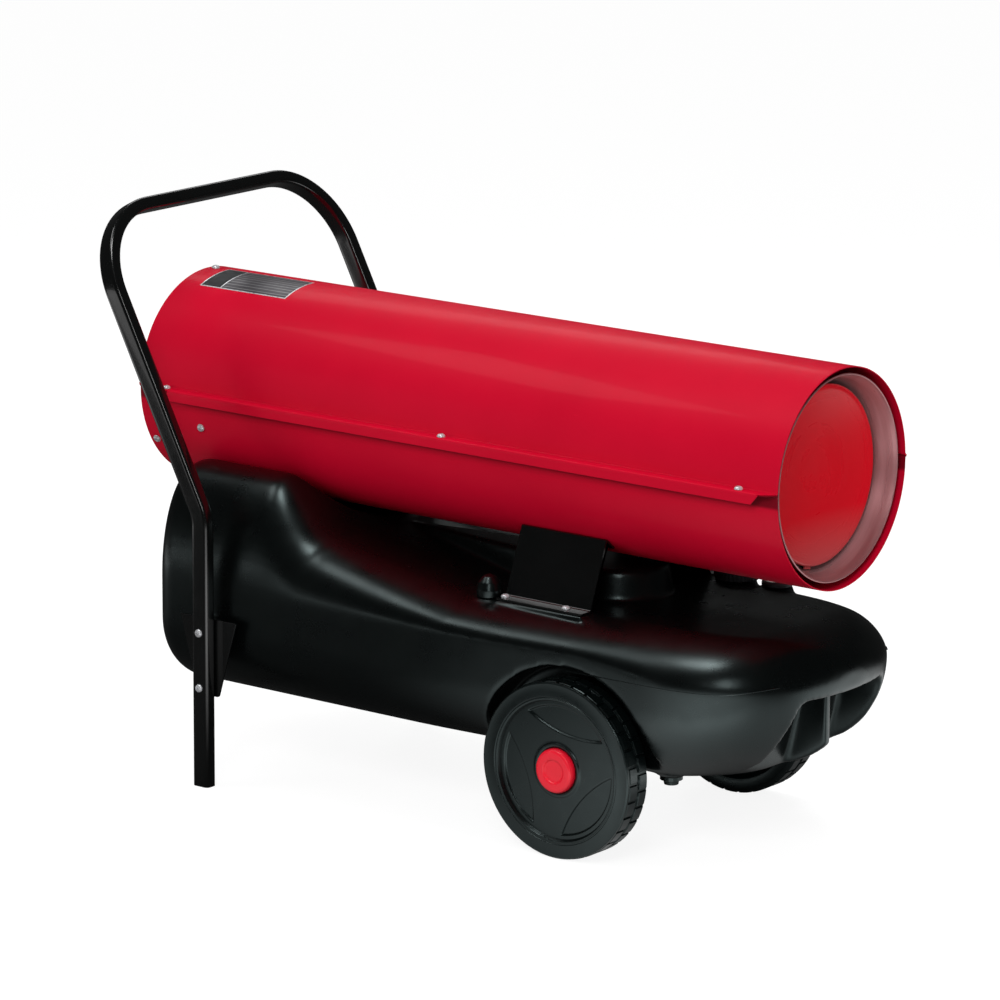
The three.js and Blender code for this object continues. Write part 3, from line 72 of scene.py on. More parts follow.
TANK_REAR, TANK_TIP = box_mm("fuel_tank")[0].x, box_mm("fuel_tank")[1].x
TANK_BOTTOM = 123
TANK_HALF, NOSE_HALF, NOSE_START, NOSE_POWER = 232, 208, 120, 2.4
TANK_REAR_ROUND = 40
PLATEAU_Z, PLATEAU_END = 447, -545
DECK_START, DECK_REAR_Z, DECK_LEVEL, DECK_Z = -440, 370, -200, 326
NOSE_DROP, NOSE_DROP_LENGTH = 54, 100
SHOULDER_WIDTH, SHOULDER_Z, NOSE_SHOULDER_Z = 85, 286, 266
BILGE, NOSE_BILGE = 100, 70
CHIN_START, CHIN_RISE = 190, 135
SPINE_REAR, SPINE_FRONT, SPINE_HALF = -450, 8, 68
SPINE_TOP = AXIS_Z - TUBE_RADIUS - 16.5
PAD_Z = DECK_Z + 2
RECESS_HALF, RECESS_TOP, RECESS_BOTTOM = 102, 247, 108
RECESS_FLOOR_TOP, RECESS_FLOOR_BOTTOM, RECESS_CORNER = 256, 219, 16
RIB_THICKNESS, RIB_FORWARD = 12, 36

WHEEL_RADIUS = 125
AXLE_Z = WHEEL_RADIUS
WHEEL_INNER = box_mm("wheel_far")[0].y
LEG_X, LEG_Y = -607, TANK_HALF + 27
FITTING_Y, FILLER_X, GAUGE_X, BREATHER_X = 150, 32, 100, -177
SCREW_HEAD = 4.5
DRAIN_X, DRAIN_Y = 125, -132
FLOOR_REACH = 30000
SIDES = {"near": -1, "far": 1}


# ---- shapes: lists of points in millimetres with the faces that join them ----
def ease(low, high, x):
    t = min(max((x - low) / (high - low), 0), 1)
    return t * t * (3 - 2 * t)


def mix(a, b, t):
    return a + (b - a) * t


def steps(low, high, count):
    return [mix(low, high, i / count) for i in range(count + 1)]


def skin(rings, closed=True, caps=True):
    """Joins rings of points. Closed rings run all the way round, and caps fill the two ends."""
    count = len(rings[0])
    points = [Vector(p) for ring in rings for p in ring]
    faces = []
    for i in range(len(rings) - 1):
        for j in range(count if closed else count - 1):
            a, b = i * count + j, i * count + (j + 1) % count
            faces.append((a, b, b + count, a + count))
    if caps:
        faces.append(tuple(reversed(range(count))))
        faces.append(tuple(range(len(points) - count, len(points))))
    return points, faces


def merged(*shapes):
    points, faces = [], []
    for shape_points, shape_faces in shapes:
        offset = len(points)
        points += shape_points
        faces += [tuple(i + offset for i in face) for face in shape_faces]
    return points, faces


def turned(profile, at, axis, sides=96):
    """Turns (radius, height) points about the line through `at`. A profile starts and ends on the
    axis, or closes on itself."""
    axis = Vector(axis).normalized()
    across = axis.orthogonal().normalized()
    other = axis.cross(across)
    outline = profile if profile[0][0] == 0 else [*profile, profile[0]]
    rings = []
    for radius, height in outline:
        middle = Vector(at) + axis * height
        angles = [2 * math.pi * i / sides for i in range(sides)]
        rings.append([middle + radius * (math.cos(a) * across + math.sin(a) * other) for a in angles])
    return skin(rings, caps=False)


def drum(low, high, radius, at, axis, sides, top_radius=None):
    """A solid disc or cone about the line through `at`."""
    return turned([(0, low), (radius, low), (top_radius or radius, high), (0, high)], at, axis, sides)


def circle(x, y, radius, count):
    """The points of a circle that closes on itself."""
    return [(x + radius * math.cos(a), y + radius * math.sin(a)) for a in steps(0, 2 * math.pi, count)[:-1]]


def rounded(corners, radii, count=5):
    """A bent line in a plane, with a round of its own radius at each inner corner."""
    line = [Vector(corners[0])]
    for i in range(1, len(corners) - 1):
        before, here, after = (Vector(corners[k]) for k in (i - 1, i, i + 1))
        radius = radii if isinstance(radii, (int, float)) else radii[i]
        inward, onward = (before - here).normalized(), (after - here).normalized()
        bend = math.pi - inward.angle(onward)
        reach = radius * math.tan(bend / 2)
        reach = min(reach, 0.48 * (before - here).length, 0.48 * (after - here).length)
        if reach < 1e-3:
            line.append(here)
            continue
        for t in steps(0, 1, count):
            a, b = here + inward * reach * (1 - t), here + onward * reach * t
            line.append(a.lerp(b, t))
    line.append(Vector(corners[-1]))
    return line


def round_loop(corners, radii, count=5):
    """The same for an outline that closes on itself."""
    radius_list = [radii] * len(corners) if isinstance(radii, (int, float)) else radii
    wrapped = [corners[-1], *corners, corners[0]]
    return rounded(wrapped, [0, *radius_list, 0], count)[1:-1]


def folded(line, thickness):
    """Gives a bent line the thickness of its sheet."""
    points = [Vector(p) for p in line]
    runs = [(b - a).normalized() for a, b in zip(points, points[1:])]
    normals = [Vector((-run.y, run.x)) for run in runs]
    left, right = [], []
    for i, point in enumerate(points):
        before, after = normals[max(i - 1, 0)], normals[min(i, len(normals) - 1)]
        middle = (before + after).normalized()
        offset = middle * (thickness / 2 / middle.dot(after))
        left.append(point + offset)
        right.append(point - offset)
    return left + right[::-1]


def along_x(outline, xs):
    return skin([[(x, p[0], p[1]) for p in outline] for x in xs])


def along_y(outline, y0, y1):
    return skin([[(p[0], y, p[1]) for p in outline] for y in (y0, y1)])


def along_z(outline, zs):
    return skin([[(p[0], p[1], z) for p in outline] for z in zs])


def block(x0, x1, y0, y1, z0, z1):
    return along_z([(x0, y0), (x1, y0), (x1, y1), (x0, y1)], (z0, z1))


def tube_line(points, radius, sides=16, count=8):
    """A round tube along a smooth line through the points."""
    line = []
    ends = [2 * points[0] - points[1], *points, 2 * points[-1] - points[-2]]
    for a, b, c, d in zip(ends, ends[1:], ends[2:], ends[3:]):
        for i in range(count):
            t = i / count
            line.append(0.5 * ((2 * b) + (c - a) * t + (2 * a - 5 * b + 4 * c - d) * t * t
                               + (3 * b - a - 3 * c + d) * t ** 3))
    line.append(points[-1])
    rings, across = [], None
    for i, here in enumerate(line):
        run = (line[min(i + 1, len(line) - 1)] - line[max(i - 1, 0)]).normalized()
        across = run.orthogonal() if across is None else across - run * across.dot(run)
        across.normalize()
        other = run.cross(across)
        angles = [2 * math.pi * k / sides for k in range(sides)]
        rings.append([here + radius * (math.cos(a) * across + math.sin(a) * other) for a in angles])
    return skin(rings)


def on_tube(radius, degrees, x):
    """A point about the tube's axis: 0 degrees is towards the near side and 90 is straight up."""
    a = math.radians(degrees)
    return Vector((x, -radius * math.cos(a), AXIS_Z + radius * math.sin(a)))


# ---- shapes into Blender objects ----
def to_object(name, shape):
    points, faces = shape
    mesh = bpy.data.meshes.new(name)
    mesh.from_pydata([((p[0] + SHIFT) * MM, p[1] * MM, p[2] * MM) for p in points], [], faces)
    work = bmesh.new()
    work.from_mesh(mesh)
    bmesh.ops.remove_doubles(work, verts=work.verts, dist=1e-6)
    bmesh.ops.dissolve_degenerate(work, edges=work.edges, dist=1e-7)
    bmesh.ops.delete(work, geom=[v for v in work.verts if not v.link_faces], context="VERTS")
    bmesh.ops.recalc_face_normals(work, faces=work.faces)
    work.to_mesh(mesh)
    work.free()
    made = bpy.data.objects.new(name, mesh)
    bpy.context.scene.collection.objects.link(made)
    return made


def settle(thing):
    """Makes the modifiers' result the mesh itself."""
    graph = bpy.context.evaluated_depsgraph_get()
    result = bpy.data.meshes.new_from_object(thing.evaluated_get(graph))
    thing.modifiers.clear()
    thing.data = result


def combine(thing, shape, operation="DIFFERENCE"):
    tool = to_object("tool", shape)
    step = thing.modifiers.new("cut", "BOOLEAN")
    step.operation, step.object, step.solver = operation, tool, "MANIFOLD"
    settle(thing)
    bpy.data.objects.remove(tool)


def soften(thing, width, segments=2, angle=32):
    step = thing.modifiers.new("edge round", "BEVEL")
    step.width, step.segments, step.limit_method = width * MM, segments, "ANGLE"
    step.angle_limit, step.harden_normals = math.radians(angle), True
    thing.data.shade_smooth()


def smooth(thing, angle=35):
    thing.data.shade_smooth()
    thing.data.set_sharp_from_angle(angle=math.radians(angle))


def fit(thing, body, material, replaces=()):
    thing.data.materials.clear()
    thing.data.materials.append(material)
    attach(thing, body)
    if replaces:
        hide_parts(*replaces)
    return thing


# ---- materials: shared effects ----
def linear(red, green, blue):
    values = [v / 255 for v in (red, green, blue)]
    return tuple(v / 12.92 if v <= 0.04045 else ((v + 0.055) / 1.055) ** 2.4 for v in values) + (1.0,)


def node(tree, kind, values=None, links=None, **settings):
    """A shader node. A link may come from a socket, or from a node's first output."""
    made = tree.nodes.new(f"ShaderNode{kind}")
    for key, value in settings.items():
        setattr(made, key, value)
    for socket, value in (values or {}).items():
        made.inputs[socket].default_value = value
    for socket, source in (links or {}).items():
        tree.links.new(source.outputs[0] if hasattr(source, "outputs") else source, made.inputs[socket])
    return made


def new_group(name, inputs, outputs):
    """A shader node group; `inputs` and `outputs` give each socket's name and kind."""
    group = bpy.data.node_groups.new(name, "ShaderNodeTree")
    for label, kind in inputs.items():
        group.interface.new_socket(label, in_out="INPUT", socket_type=f"NodeSocket{kind}")
    for label, kind in outputs.items():
        group.interface.new_socket(label, in_out="OUTPUT", socket_type=f"NodeSocket{kind}")
    return group, group.nodes.new("NodeGroupInput").outputs, group.nodes.new("NodeGroupOutput").inputs


def tone_group():
    """Slow drift of a colour over a surface, from a base to a second tone."""
    sockets = {"Vector": "Vector", "Scale": "Float", "Base": "Color", "Second": "Color"}
    group, given, out = new_group("tone drift", sockets, {"Color": "Color"})
    cloud = node(group, "TexNoise", {"Detail": 3.0, "Roughness": 0.55},
                 {"Vector": given["Vector"], "Scale": given["Scale"]})
    spread = node(group, "MapRange", {"From Min": 0.32, "From Max": 0.68}, {"Value": cloud})
    blend = node(group, "Mix", links={"Factor": spread}, data_type="RGBA")
    for socket, source in zip(mix_inputs(blend), (given["Base"], given["Second"])):
        group.links.new(source, socket)
    group.links.new(mix_output(blend), out["Color"])
    return group


def mix_output(blend):
    return next(s for s in blend.outputs if s.type == "RGBA" and s.enabled)


def mix_inputs(blend):
    return [s for s in blend.inputs if s.type == "RGBA" and s.enabled]


def tinted(tree, colour, factor, tint):
    """The colour with a tint laid over it where the factor is high."""
    blend = node(tree, "Mix", links={"Factor": factor}, data_type="RGBA")
    first, other = mix_inputs(blend)
    tree.links.new(colour, first)
    other.default_value = linear(*tint)
    return mix_output(blend)


def retint(material, factor, tint):
    """Lays a tint over a material's base colour."""
    tree = material.node_tree
    base = tree.nodes["Principled BSDF"].inputs["Base Color"]
    tree.links.new(tinted(tree, base.links[0].from_socket, factor, tint), base)


def height_fade(tree, low, high, at_low, at_high, curve="LINEAR"):
    """A value that changes between two heights in metres."""
    height = node(tree, "SeparateXYZ", links={0: node(tree, "TexCoord").outputs["Object"]}).outputs["Z"]
    ends = {"From Min": low, "From Max": high, "To Min": at_low, "To Max": at_high}
    return node(tree, "MapRange", ends, {"Value": height}, interpolation_type=curve).outputs["Result"]


def grain_group():
    """Fine surface grain: a height from two sizes of noise, and a roughness that follows it."""
    sockets = {"Vector": "Vector", "Scale": "Float", "Low": "Float", "High": "Float"}
    group, given, out = new_group("surface grain", sockets, {"Height": "Float", "Roughness": "Float"})
    fine = node(group, "TexNoise", {"Detail": 2.0}, {"Vector": given["Vector"], "Scale": given["Scale"]})
    wide_scale = node(group, "Math", {1: 0.04}, {0: given["Scale"]}, operation="MULTIPLY")
    wide = node(group, "TexNoise", {"Detail": 4.0}, {"Vector": given["Vector"], "Scale": wide_scale})
    gloss = node(group, "MapRange", {"From Min": 0.3, "From Max": 0.7},
                 {"Value": wide, "To Min": given["Low"], "To Max": given["High"]})
    group.links.new(fine.outputs["Fac"], out["Height"])
    group.links.new(gloss.outputs["Result"], out["Roughness"])
    return group


def scuff_group():
    """Sparse fine scratches and dust specks, as a mask."""
    group, given, out = new_group("scuffs", {"Vector": "Vector", "Scale": "Float"}, {"Mask": "Float"})
    stretch = node(group, "VectorMath", {1: (0.25, 1.0, 1.6)}, {0: given["Vector"]}, operation="MULTIPLY")
    lines = node(group, "TexNoise", {"Detail": 6.0, "Roughness": 0.7, "Distortion": 0.6},
                 {"Vector": stretch, "Scale": given["Scale"]})
    mask = node(group, "MapRange", {"From Min": 0.66, "From Max": 0.78}, {"Value": lines})
    group.links.new(mask.outputs["Result"], out["Mask"])
    return group


def about_tube_group():
    """Coordinates about the tube's axis: along it, out from it and round it, for turned sheet metal."""
    group, given, out = new_group("about the tube", {"Vector": "Vector"}, {"Vector": "Vector"})
    parts = node(group, "SeparateXYZ", links={0: given["Vector"]}).outputs
    rise = node(group, "Math", {1: AXIS_Z * MM}, {0: parts["Z"]}, operation="SUBTRACT")
    angle = node(group, "Math", links={0: rise, 1: parts["Y"]}, operation="ARCTAN2")
    turn = node(group, "Math", {1: 0.012}, {0: angle}, operation="MULTIPLY")
    flat = node(group, "CombineXYZ", {"X": 0.0}, {"Y": parts["Y"], "Z": rise})
    reach = node(group, "VectorMath", links={0: flat}, operation="LENGTH")
    joined = node(group, "CombineXYZ", links={"X": parts["X"], "Y": reach.outputs["Value"], "Z": turn})
    group.links.new(joined.outputs[0], out["Vector"])
    return group


TONE, GRAIN, SCUFFS, ABOUT_TUBE = tone_group(), grain_group(), scuff_group(), about_tube_group()
SCUFF_SCALE = 60.0
COOL_GLOSS = (0.8, 1.0, 1.0, 1.0)


def place_group(tree, group, values=None, links=None):
    return node(tree, "Group", values, links, node_tree=group)


def new_surface(name):
    material = bpy.data.materials.new(name)
    material.use_nodes = True
    return material, material.node_tree, material.node_tree.nodes["Principled BSDF"]


def finish(name, base, second, tone_scale, rough, grain_scale, grain_depth,
           dust=None, round_tube=False, **shader):
    """A finish with tone drift, grain that moves both height and gloss, and fine scuffs. Colours are sRGB,
    `rough` is the lowest and highest roughness and `grain_depth` is in metres."""
    material, tree, surface = new_surface(name)
    place = node(tree, "TexCoord").outputs["Object"]
    if round_tube:
        place = place_group(tree, ABOUT_TUBE, links={"Vector": place}).outputs[0]
    at = {"Vector": place}
    tones = {"Scale": tone_scale, "Base": linear(*base), "Second": linear(*second)}
    colour = place_group(tree, TONE, tones, at).outputs["Color"]
    grain = place_group(tree, GRAIN, {"Scale": grain_scale, "Low": rough[0], "High": rough[1]}, at).outputs
    if dust:
        scuffs = place_group(tree, SCUFFS, {"Scale": SCUFF_SCALE}, at)
        colour = tinted(tree, colour, scuffs.outputs["Mask"], dust)
    bump = node(tree, "Bump", {"Strength": 0.6, "Distance": grain_depth}, {"Height": grain["Height"]})
    sources = {"Base Color": colour, "Roughness": grain["Roughness"], "Normal": bump.outputs[0]}
    for socket, source in sources.items():
        tree.links.new(source, surface.inputs[socket])
    for socket, value in shader.items():
        surface.inputs[socket.replace("_", " ")].default_value = value
    return material


# ---- materials: this heater's finishes ----
def red_paint():
    return finish("red sheet paint", (194, 8, 41), (186, 6, 38), 5.0, (0.34, 0.4), 900.0, 0.00002,
                  dust=(200, 14, 44), Specular_IOR_Level=0.06, Coat_Weight=0.05, Coat_Roughness=0.08)


def lip_shaded_paint():
    """The red paint of the lower half shell, darker in the strip that the flange's lip shades."""
    material = red_paint()
    material.name = "red sheet paint under the lip"
    shaded, clear = (LIP_BOTTOM_Z - 3) * MM, (LIP_BOTTOM_Z - 9) * MM
    retint(material, height_fade(material.node_tree, clear, shaded, 0.0, 0.75, "SMOOTHSTEP"), (70, 4, 14))
    return material


def tank_plastic():
    return finish("black tank plastic", (5, 6, 6), (3, 4, 4), 6.0, (0.26, 0.32), 700.0, 0.00003,
                  dust=(9, 11, 11), Specular_Tint=COOL_GLOSS)


def wheel_plastic():
    return finish("black wheel plastic", (6, 10, 10), (4, 8, 8), 12.0, (0.26, 0.34), 1100.0, 0.00004,
                  dust=(22, 27, 27), Specular_Tint=COOL_GLOSS)


def black_paint():
    return finish("black frame paint", (7, 8, 8), (5, 6, 6), 10.0, (0.16, 0.24), 800.0, 0.00002,
                  dust=(14, 15, 16), Coat_Weight=0.5, Coat_Roughness=0.06)


def red_plastic():
    return finish("red cap plastic", (240, 20, 48), (232, 16, 42), 20.0, (0.28, 0.36), 1300.0, 0.00002)


def dark_plastic():
    return finish("dark moulded plastic", (34, 36, 38), (27, 29, 31), 16.0, (0.42, 0.56), 1500.0, 0.00008,
                  dust=(60, 61, 62))


def rubber():
    return finish("black rubber", (24, 24, 25), (19, 19, 20), 18.0, (0.6, 0.78), 1600.0, 0.00008)


def zinc():
    return finish("zinc plate", (226, 228, 232), (204, 206, 208), 60.0, (0.2, 0.34), 2200.0, 0.00002,
                  Metallic=0.55)


def liner_steel():
    # Grey steel; the pink in its colours is a painted reflection of the red tube round it.
    return finish("brushed liner steel", (186, 138, 140), (150, 98, 100), 55.0, (0.26, 0.42), 2600.0,
                  0.00004, round_tube=True, Metallic=0.45)


def plain_steel():
    return finish("plain sheet steel", (150, 153, 156), (122, 124, 128), 24.0, (0.34, 0.5), 1400.0,
                  0.00004, dust=(96, 92, 88), Metallic=0.9)


def cast_aluminium():
    return finish("cast aluminium", (176, 179, 182), (150, 152, 155), 30.0, (0.42, 0.58), 900.0, 0.00012,
                  Metallic=0.8)


def brass():
    return finish("brass", (196, 160, 84), (168, 132, 62), 40.0, (0.26, 0.4), 1500.0, 0.00003, Metallic=1.0)


def ceramic():
    return finish("glazed ceramic", (232, 228, 218), (222, 214, 200), 60.0, (0.2, 0.32), 900.0, 0.00002)


MATERIALS = {
    "red_shell": red_paint(), "tank_black": tank_plastic(), "wheel_black": wheel_plastic(),
    "frame_black": black_paint(), "red_plastic": red_plastic(), "dark_plastic": dark_plastic(),
    "black_rubber": rubber(), "zinc": zinc(), "liner_steel": liner_steel(), "plain_steel": plain_steel(),
    "cast_aluminium": cast_aluminium(), "brass": brass(), "ceramic": ceramic(),
}


def dress(thing, body, slot, *replaces):
    return fit(thing, body, MATERIALS[slot], replaces)


def part(name, shape, body, slot, *replaces, angle=40):
    """A smooth-shaded piece in its slot's finish."""
    thing = to_object(name, shape)
    smooth(thing, angle)
    return dress(thing, body, slot, *replaces)


def spoke(degrees):
    """Directions out from the tube's axis and round it, where 0 degrees is towards the far side."""
    a = math.radians(degrees)
    return Vector((0, math.cos(a), math.sin(a))), Vector((0, -math.sin(a), math.cos(a)))


def raised_bar(base, out, side, reach, half, rise):
    """A thin bar that points away from the base, between two reaches, as one mark of a scale."""
    ends = ((reach[0], -half), (reach[1], -half), (reach[1], half), (reach[0], half))
    corners = [base + out * r + side * s for r, s in ends]
    return skin([corners, [c + Vector(rise) for c in corners]])


# ---- camera, light and floor ----
def make_camera():
    """The photograph's viewpoint, in millimetres from the axle, with its right, up and forward axes."""
    eye = Vector((4296.773, -5934.77, 2197.572))
    right = Vector((0.791339, 0.61135, 0.005819))
    up = Vector((-0.145486, 0.179058, 0.973022))
    focal_pixels, image_pixels, sensor = 5438.889, 1000, 36
    data = bpy.data.cameras.new("camera")
    data.sensor_width, data.lens = sensor, focal_pixels / image_pixels * sensor
    data.clip_end = 100
    camera = bpy.data.objects.new("camera", data)
    bpy.context.scene.collection.objects.link(camera)
    back = right.cross(up)
    camera.matrix_world = [
        [right.x, up.x, back.x, (eye.x + SHIFT) * MM], [right.y, up.y, back.y, eye.y * MM],
        [right.z, up.z, back.z, eye.z * MM], [0, 0, 0, 1],
    ]
    camera.matrix_world = camera.matrix_world.transposed()
    bpy.context.scene.camera = camera


def softbox(name, at, aim, width, height, power, gloss=False):
    """A flat lamp that lights surfaces, or one that only shows in their gloss."""
    data = bpy.data.lights.new(name, "AREA")
    data.shape, data.size, data.size_y, data.energy = "RECTANGLE", width, height, power
    lamp = bpy.data.objects.new(name, data)
    bpy.context.scene.collection.objects.link(lamp)
    lamp.location = at
    lamp.rotation_euler = (Vector(aim) - Vector(at)).to_track_quat("-Z", "Y").to_euler()
    lamp.visible_glossy, lamp.visible_diffuse = gloss, not gloss


def make_lights():
    middle = (0, 0, 0.4)
    softbox("key", (1.6, -3.0, 2.4), middle, 1.6, 1.2, 62)
    softbox("fill", (-2.6, -2.6, 1.2), middle, 1.4, 1.4, 26)
    softbox("top", (-0.2, 0.4, 3.0), middle, 2.4, 1.0, 40)
    softbox("front", (3.4, -0.4, 1.0), middle, 1.2, 1.2, 22)
    softbox("rim", (-2.0, 2.6, 1.8), middle, 1.2, 1.2, 24)
    softbox("shoulder card", (-1.25, -0.75, 2.3), middle, 0.9, 0.45, 5, gloss=True)
    softbox("nose card", (-0.1, -0.8, 2.6), (0.3, 0, 0.3), 0.75, 0.5, 14, gloss=True)
    softbox("flank card", (-2.2, -2.7, 0.22), (-0.4, 0, 0.22), 1.8, 0.36, 2.2, gloss=True)
    softbox("edge card", (1.5, -2.4, 1.75), (-0.4, -0.26, 0.6), 0.4, 1.2, 11, gloss=True)
    softbox("tube card", (-1.6, 1.5, 2.1), (0, 0, 0.6), 1.4, 0.5, 5, gloss=True)


def ray_strength(tree, camera, glossy, other):
    """One strength for camera rays, one for glossy rays (a value or a node) and one for the rest."""
    path = node(tree, "LightPath").outputs
    fixed, linked = ({}, {"To Max": glossy}) if hasattr(glossy, "outputs") else ({"To Max": glossy}, {})
    gloss = node(tree, "MapRange", {"To Min": other, **fixed}, {"Value": path["Is Glossy Ray"], **linked})
    seen = node(tree, "Math", {1: camera}, {0: path["Is Camera Ray"]}, operation="MULTIPLY")
    return node(tree, "Math", links={0: gloss, 1: seen}, operation="MAXIMUM").outputs[0]


def make_sky():
    world = bpy.data.worlds.new("studio")
    world.use_nodes = True
    bpy.context.scene.world = world
    sky = world.node_tree.nodes["Background"]
    sky.inputs["Color"].default_value = (1, 1, 1, 1)
    world.node_tree.links.new(ray_strength(world.node_tree, 1.0, 0.03, 0.42), sky.inputs["Strength"])


def make_floor():
    """Pale to the camera; in gloss it is dark with three soft pools of light, as on a studio sweep."""
    corners = [[(-FLOOR_REACH, y, 0), (FLOOR_REACH, y, 0)] for y in (-FLOOR_REACH, FLOOR_REACH)]
    floor = to_object("floor", skin(corners, closed=False, caps=False))
    paper, tree, surface = new_surface("pale floor")
    in_gloss = {"Value": node(tree, "LightPath").outputs["Is Glossy Ray"]}
    tone = node(tree, "MapRange", {"To Min": 0.25, "To Max": 0.05}, in_gloss)
    tree.links.new(tone.outputs["Result"], surface.inputs["Base Color"])
    surface.inputs["Roughness"].default_value = 1.0
    surface.inputs["Specular IOR Level"].default_value = 0.0
    surface.inputs["Emission Color"].default_value = (1, 1, 1, 1)
    place = node(tree, "TexCoord").outputs["Object"]
    sheen = None
    for x, y, reach, strength in ((0.6, -0.9, 1.0, 2.3), (-2.5, -1.0, 1.1, 1.6), (1.1, 0.5, 0.9, 2.0)):
        away = node(tree, "VectorMath", {1: (x, y, 0)}, {0: place}, operation="DISTANCE").outputs["Value"]
        ends = {"From Min": 0.2, "From Max": reach, "To Min": strength, "To Max": 0.0}
        pool = node(tree, "MapRange", ends, {"Value": away}, interpolation_type="SMOOTHSTEP")
        sheen = node(tree, "Math", links={0: sheen, 1: pool}, operation="ADD") if sheen else pool
    tree.links.new(ray_strength(tree, 0.875, sheen, 0.2), surface.inputs["Emission Strength"])
    floor.data.materials.append(paper)


# ---- heater tube ----
def shell_arc(radius, low_z, sign):
    """Points round one half of the tube, from the near side to the far side."""
    start = math.degrees(math.asin((low_z - AXIS_Z) / radius))
    stop = 180 - start if sign > 0 else -180 - start
    return [on_tube(radius, a, 0).yz for a in steps(start, stop, 96)]


def flange_reach(x, full):
    """The flanges run out to almost nothing at each end of the tube."""
    inset = min(TUBE_FRONT - x, x - TUBE_REAR) + 1
    return min(full, TUBE_RADIUS + 1.5 + 16.5 * inset / 20)


def upper_half_shell():
    middle_z = SEAM_Z + SEAT_GAP + SHEET / 2
    radius = TUBE_RADIUS - SHEET / 2
    arc = shell_arc(radius, middle_z, 1)
    edge = UPPER_FLANGE_Y - SHEET / 2
    bend, root = 2.5, 3.0

    def section(x, drop):
        """The half shell's section with lips of a given depth below the flanges."""
        out = edge if drop else flange_reach(x, UPPER_FLANGE_Y)
        lip = [(-out, middle_z - max(drop, 0.01)), (-out, middle_z)]
        near = rounded([*lip, arc[0], arc[3]], [0, bend, root, 0])
        far = [Vector((-p.x, p.y)) for p in reversed(near)]
        return [(x, *p) for p in [*near[:-1], *arc[3:-3], *far[1:]]]

    depth = middle_z - LIP_BOTTOM_Z
    chamfer_start = LIP_FRONT - LIP_CHAMFER
    chamfer = [(mix(chamfer_start, LIP_FRONT, t), mix(depth, bend, t)) for t in steps(0, 1, 3)]
    runs = [
        [(x, 0) for x in steps(TUBE_REAR, LIP_REAR, 12)],
        [(x, depth) for x in steps(LIP_REAR, chamfer_start, 60)] + chamfer[1:],
        [(x, 0) for x in steps(LIP_FRONT, TUBE_FRONT, 12)],
    ]
    skins = [skin([section(*station) for station in run], closed=False, caps=False) for run in runs]
    shell = to_object("upper_half_shell", merged(*skins))
    sheet = shell.modifiers.new("sheet", "SOLIDIFY")
    sheet.thickness, sheet.offset, sheet.use_even_offset = SHEET * MM, 0, True
    settle(shell)
    smooth(shell, 40)
    return dress(shell, "heater", "red_shell", "upper_shell")


def lower_half_shell():
    middle_z = SEAM_Z - SHEET / 2
    arc = shell_arc(TUBE_RADIUS - SHEET / 2, middle_z, -1)

    def section(x):
        line = rounded([(-flange_reach(x, LOWER_FLANGE_Y), middle_z), arc[0], arc[3]], [0, 3.0, 0])
        far = [Vector((-p.x, p.y)) for p in reversed(line)]
        return [(x, *p) for p in folded([*line[:-1], *arc[3:-3], *far[1:]], SHEET)]

    stations = [*steps(TUBE_REAR, TUBE_REAR + 44, 8), *steps(TUBE_REAR + 60, TUBE_FRONT - 60, 50),
                *steps(TUBE_FRONT - 44, TUBE_FRONT, 8)]
    shell = to_object("lower_half_shell", skin([section(x) for x in stations]))
    smooth(shell, 40)
    return fit(shell, "heater", lip_shaded_paint(), ["lower_shell"])


def rating_plate():
    """A bare plate on the tube's rear top: a pale rim round a dark end panel and a grey ruled field."""
    first, last, low, high = -779, -618, 66, 91.5
    rim, divider = 2.2, -741

    def patch(x0, x1, a0, a1, foot, top):
        """A thin curved plate between two heights off the tube."""
        section = ((x0, foot), (x1, foot), (x1, top), (x0, top))
        return skin([[on_tube(TUBE_RADIUS + h, a, x) for x, h in section] for a in steps(a0, a1, 16)])

    inset = math.degrees(rim / TUBE_RADIUS)
    across = (low + inset, high - inset, 0.3, 0.45)
    part("rating_plate", patch(first, last, low, high, 0.05, 0.35), "heater", "zinc", angle=35)
    end_panel = patch(first + rim, divider - rim / 2, *across)
    part("rating_plate_end", end_panel, "heater", "dark_plastic", angle=35)
    field = to_object("rating_plate_field", patch(divider + rim / 2, last - rim, *across))
    smooth(field)
    fit(field, "heater", plate_field_material())


def plate_field_material():
    """Dark grey foil with faint ruled lines across it."""
    foil = finish("plate foil", (84, 82, 86), (70, 68, 72), 30.0, (0.3, 0.42), 1800.0, 0.00001, Metallic=0.5)
    tree = foil.node_tree
    place = {"Vector": node(tree, "TexCoord").outputs["Object"]}
    rules = node(tree, "TexWave", {"Scale": 42.0, "Distortion": 0.0}, place, bands_direction="Y")
    mask = node(tree, "MapRange", {"From Min": 0.9, "From Max": 0.97}, {"Value": rules.outputs["Fac"]})
    retint(foil, mask.outputs["Result"], (150, 148, 150))
    return foil


# ---- outlet ----
CONE_FRONT, CONE_RADIUS = TUBE_FRONT - 5, TUBE_RADIUS - 11.5
CHAMBER_RADIUS = TUBE_RADIUS - 33.5
CONE_REAR = CONE_FRONT - 67
BAFFLE_X, BAFFLE_RADIUS = CONE_FRONT - 27, CHAMBER_RADIUS + 5


def outlet_cone_piece():
    """A spun cone with a rolled rim."""
    sleeve, bead_radius = CHAMBER_RADIUS + SEAT_GAP + 0.8, 1.3
    line = [(sleeve, CONE_REAR - 30), (sleeve, CONE_REAR),
            (CONE_RADIUS - 2.5, CONE_FRONT - 6), (CONE_RADIUS - 0.8, CONE_FRONT - 1.2)]
    wall = folded(rounded(line, [0, 14, 6, 0], 8), 1.2)
    bead = circle(CONE_RADIUS, CONE_FRONT - 1.4, bead_radius, 12)
    shape = merged(*(turned(outline, TUBE_CENTRE, ALONG, 160) for outline in (wall, bead)))
    return part("outlet_liner_cone", shape, "heater", "liner_steel", "outlet_cone")


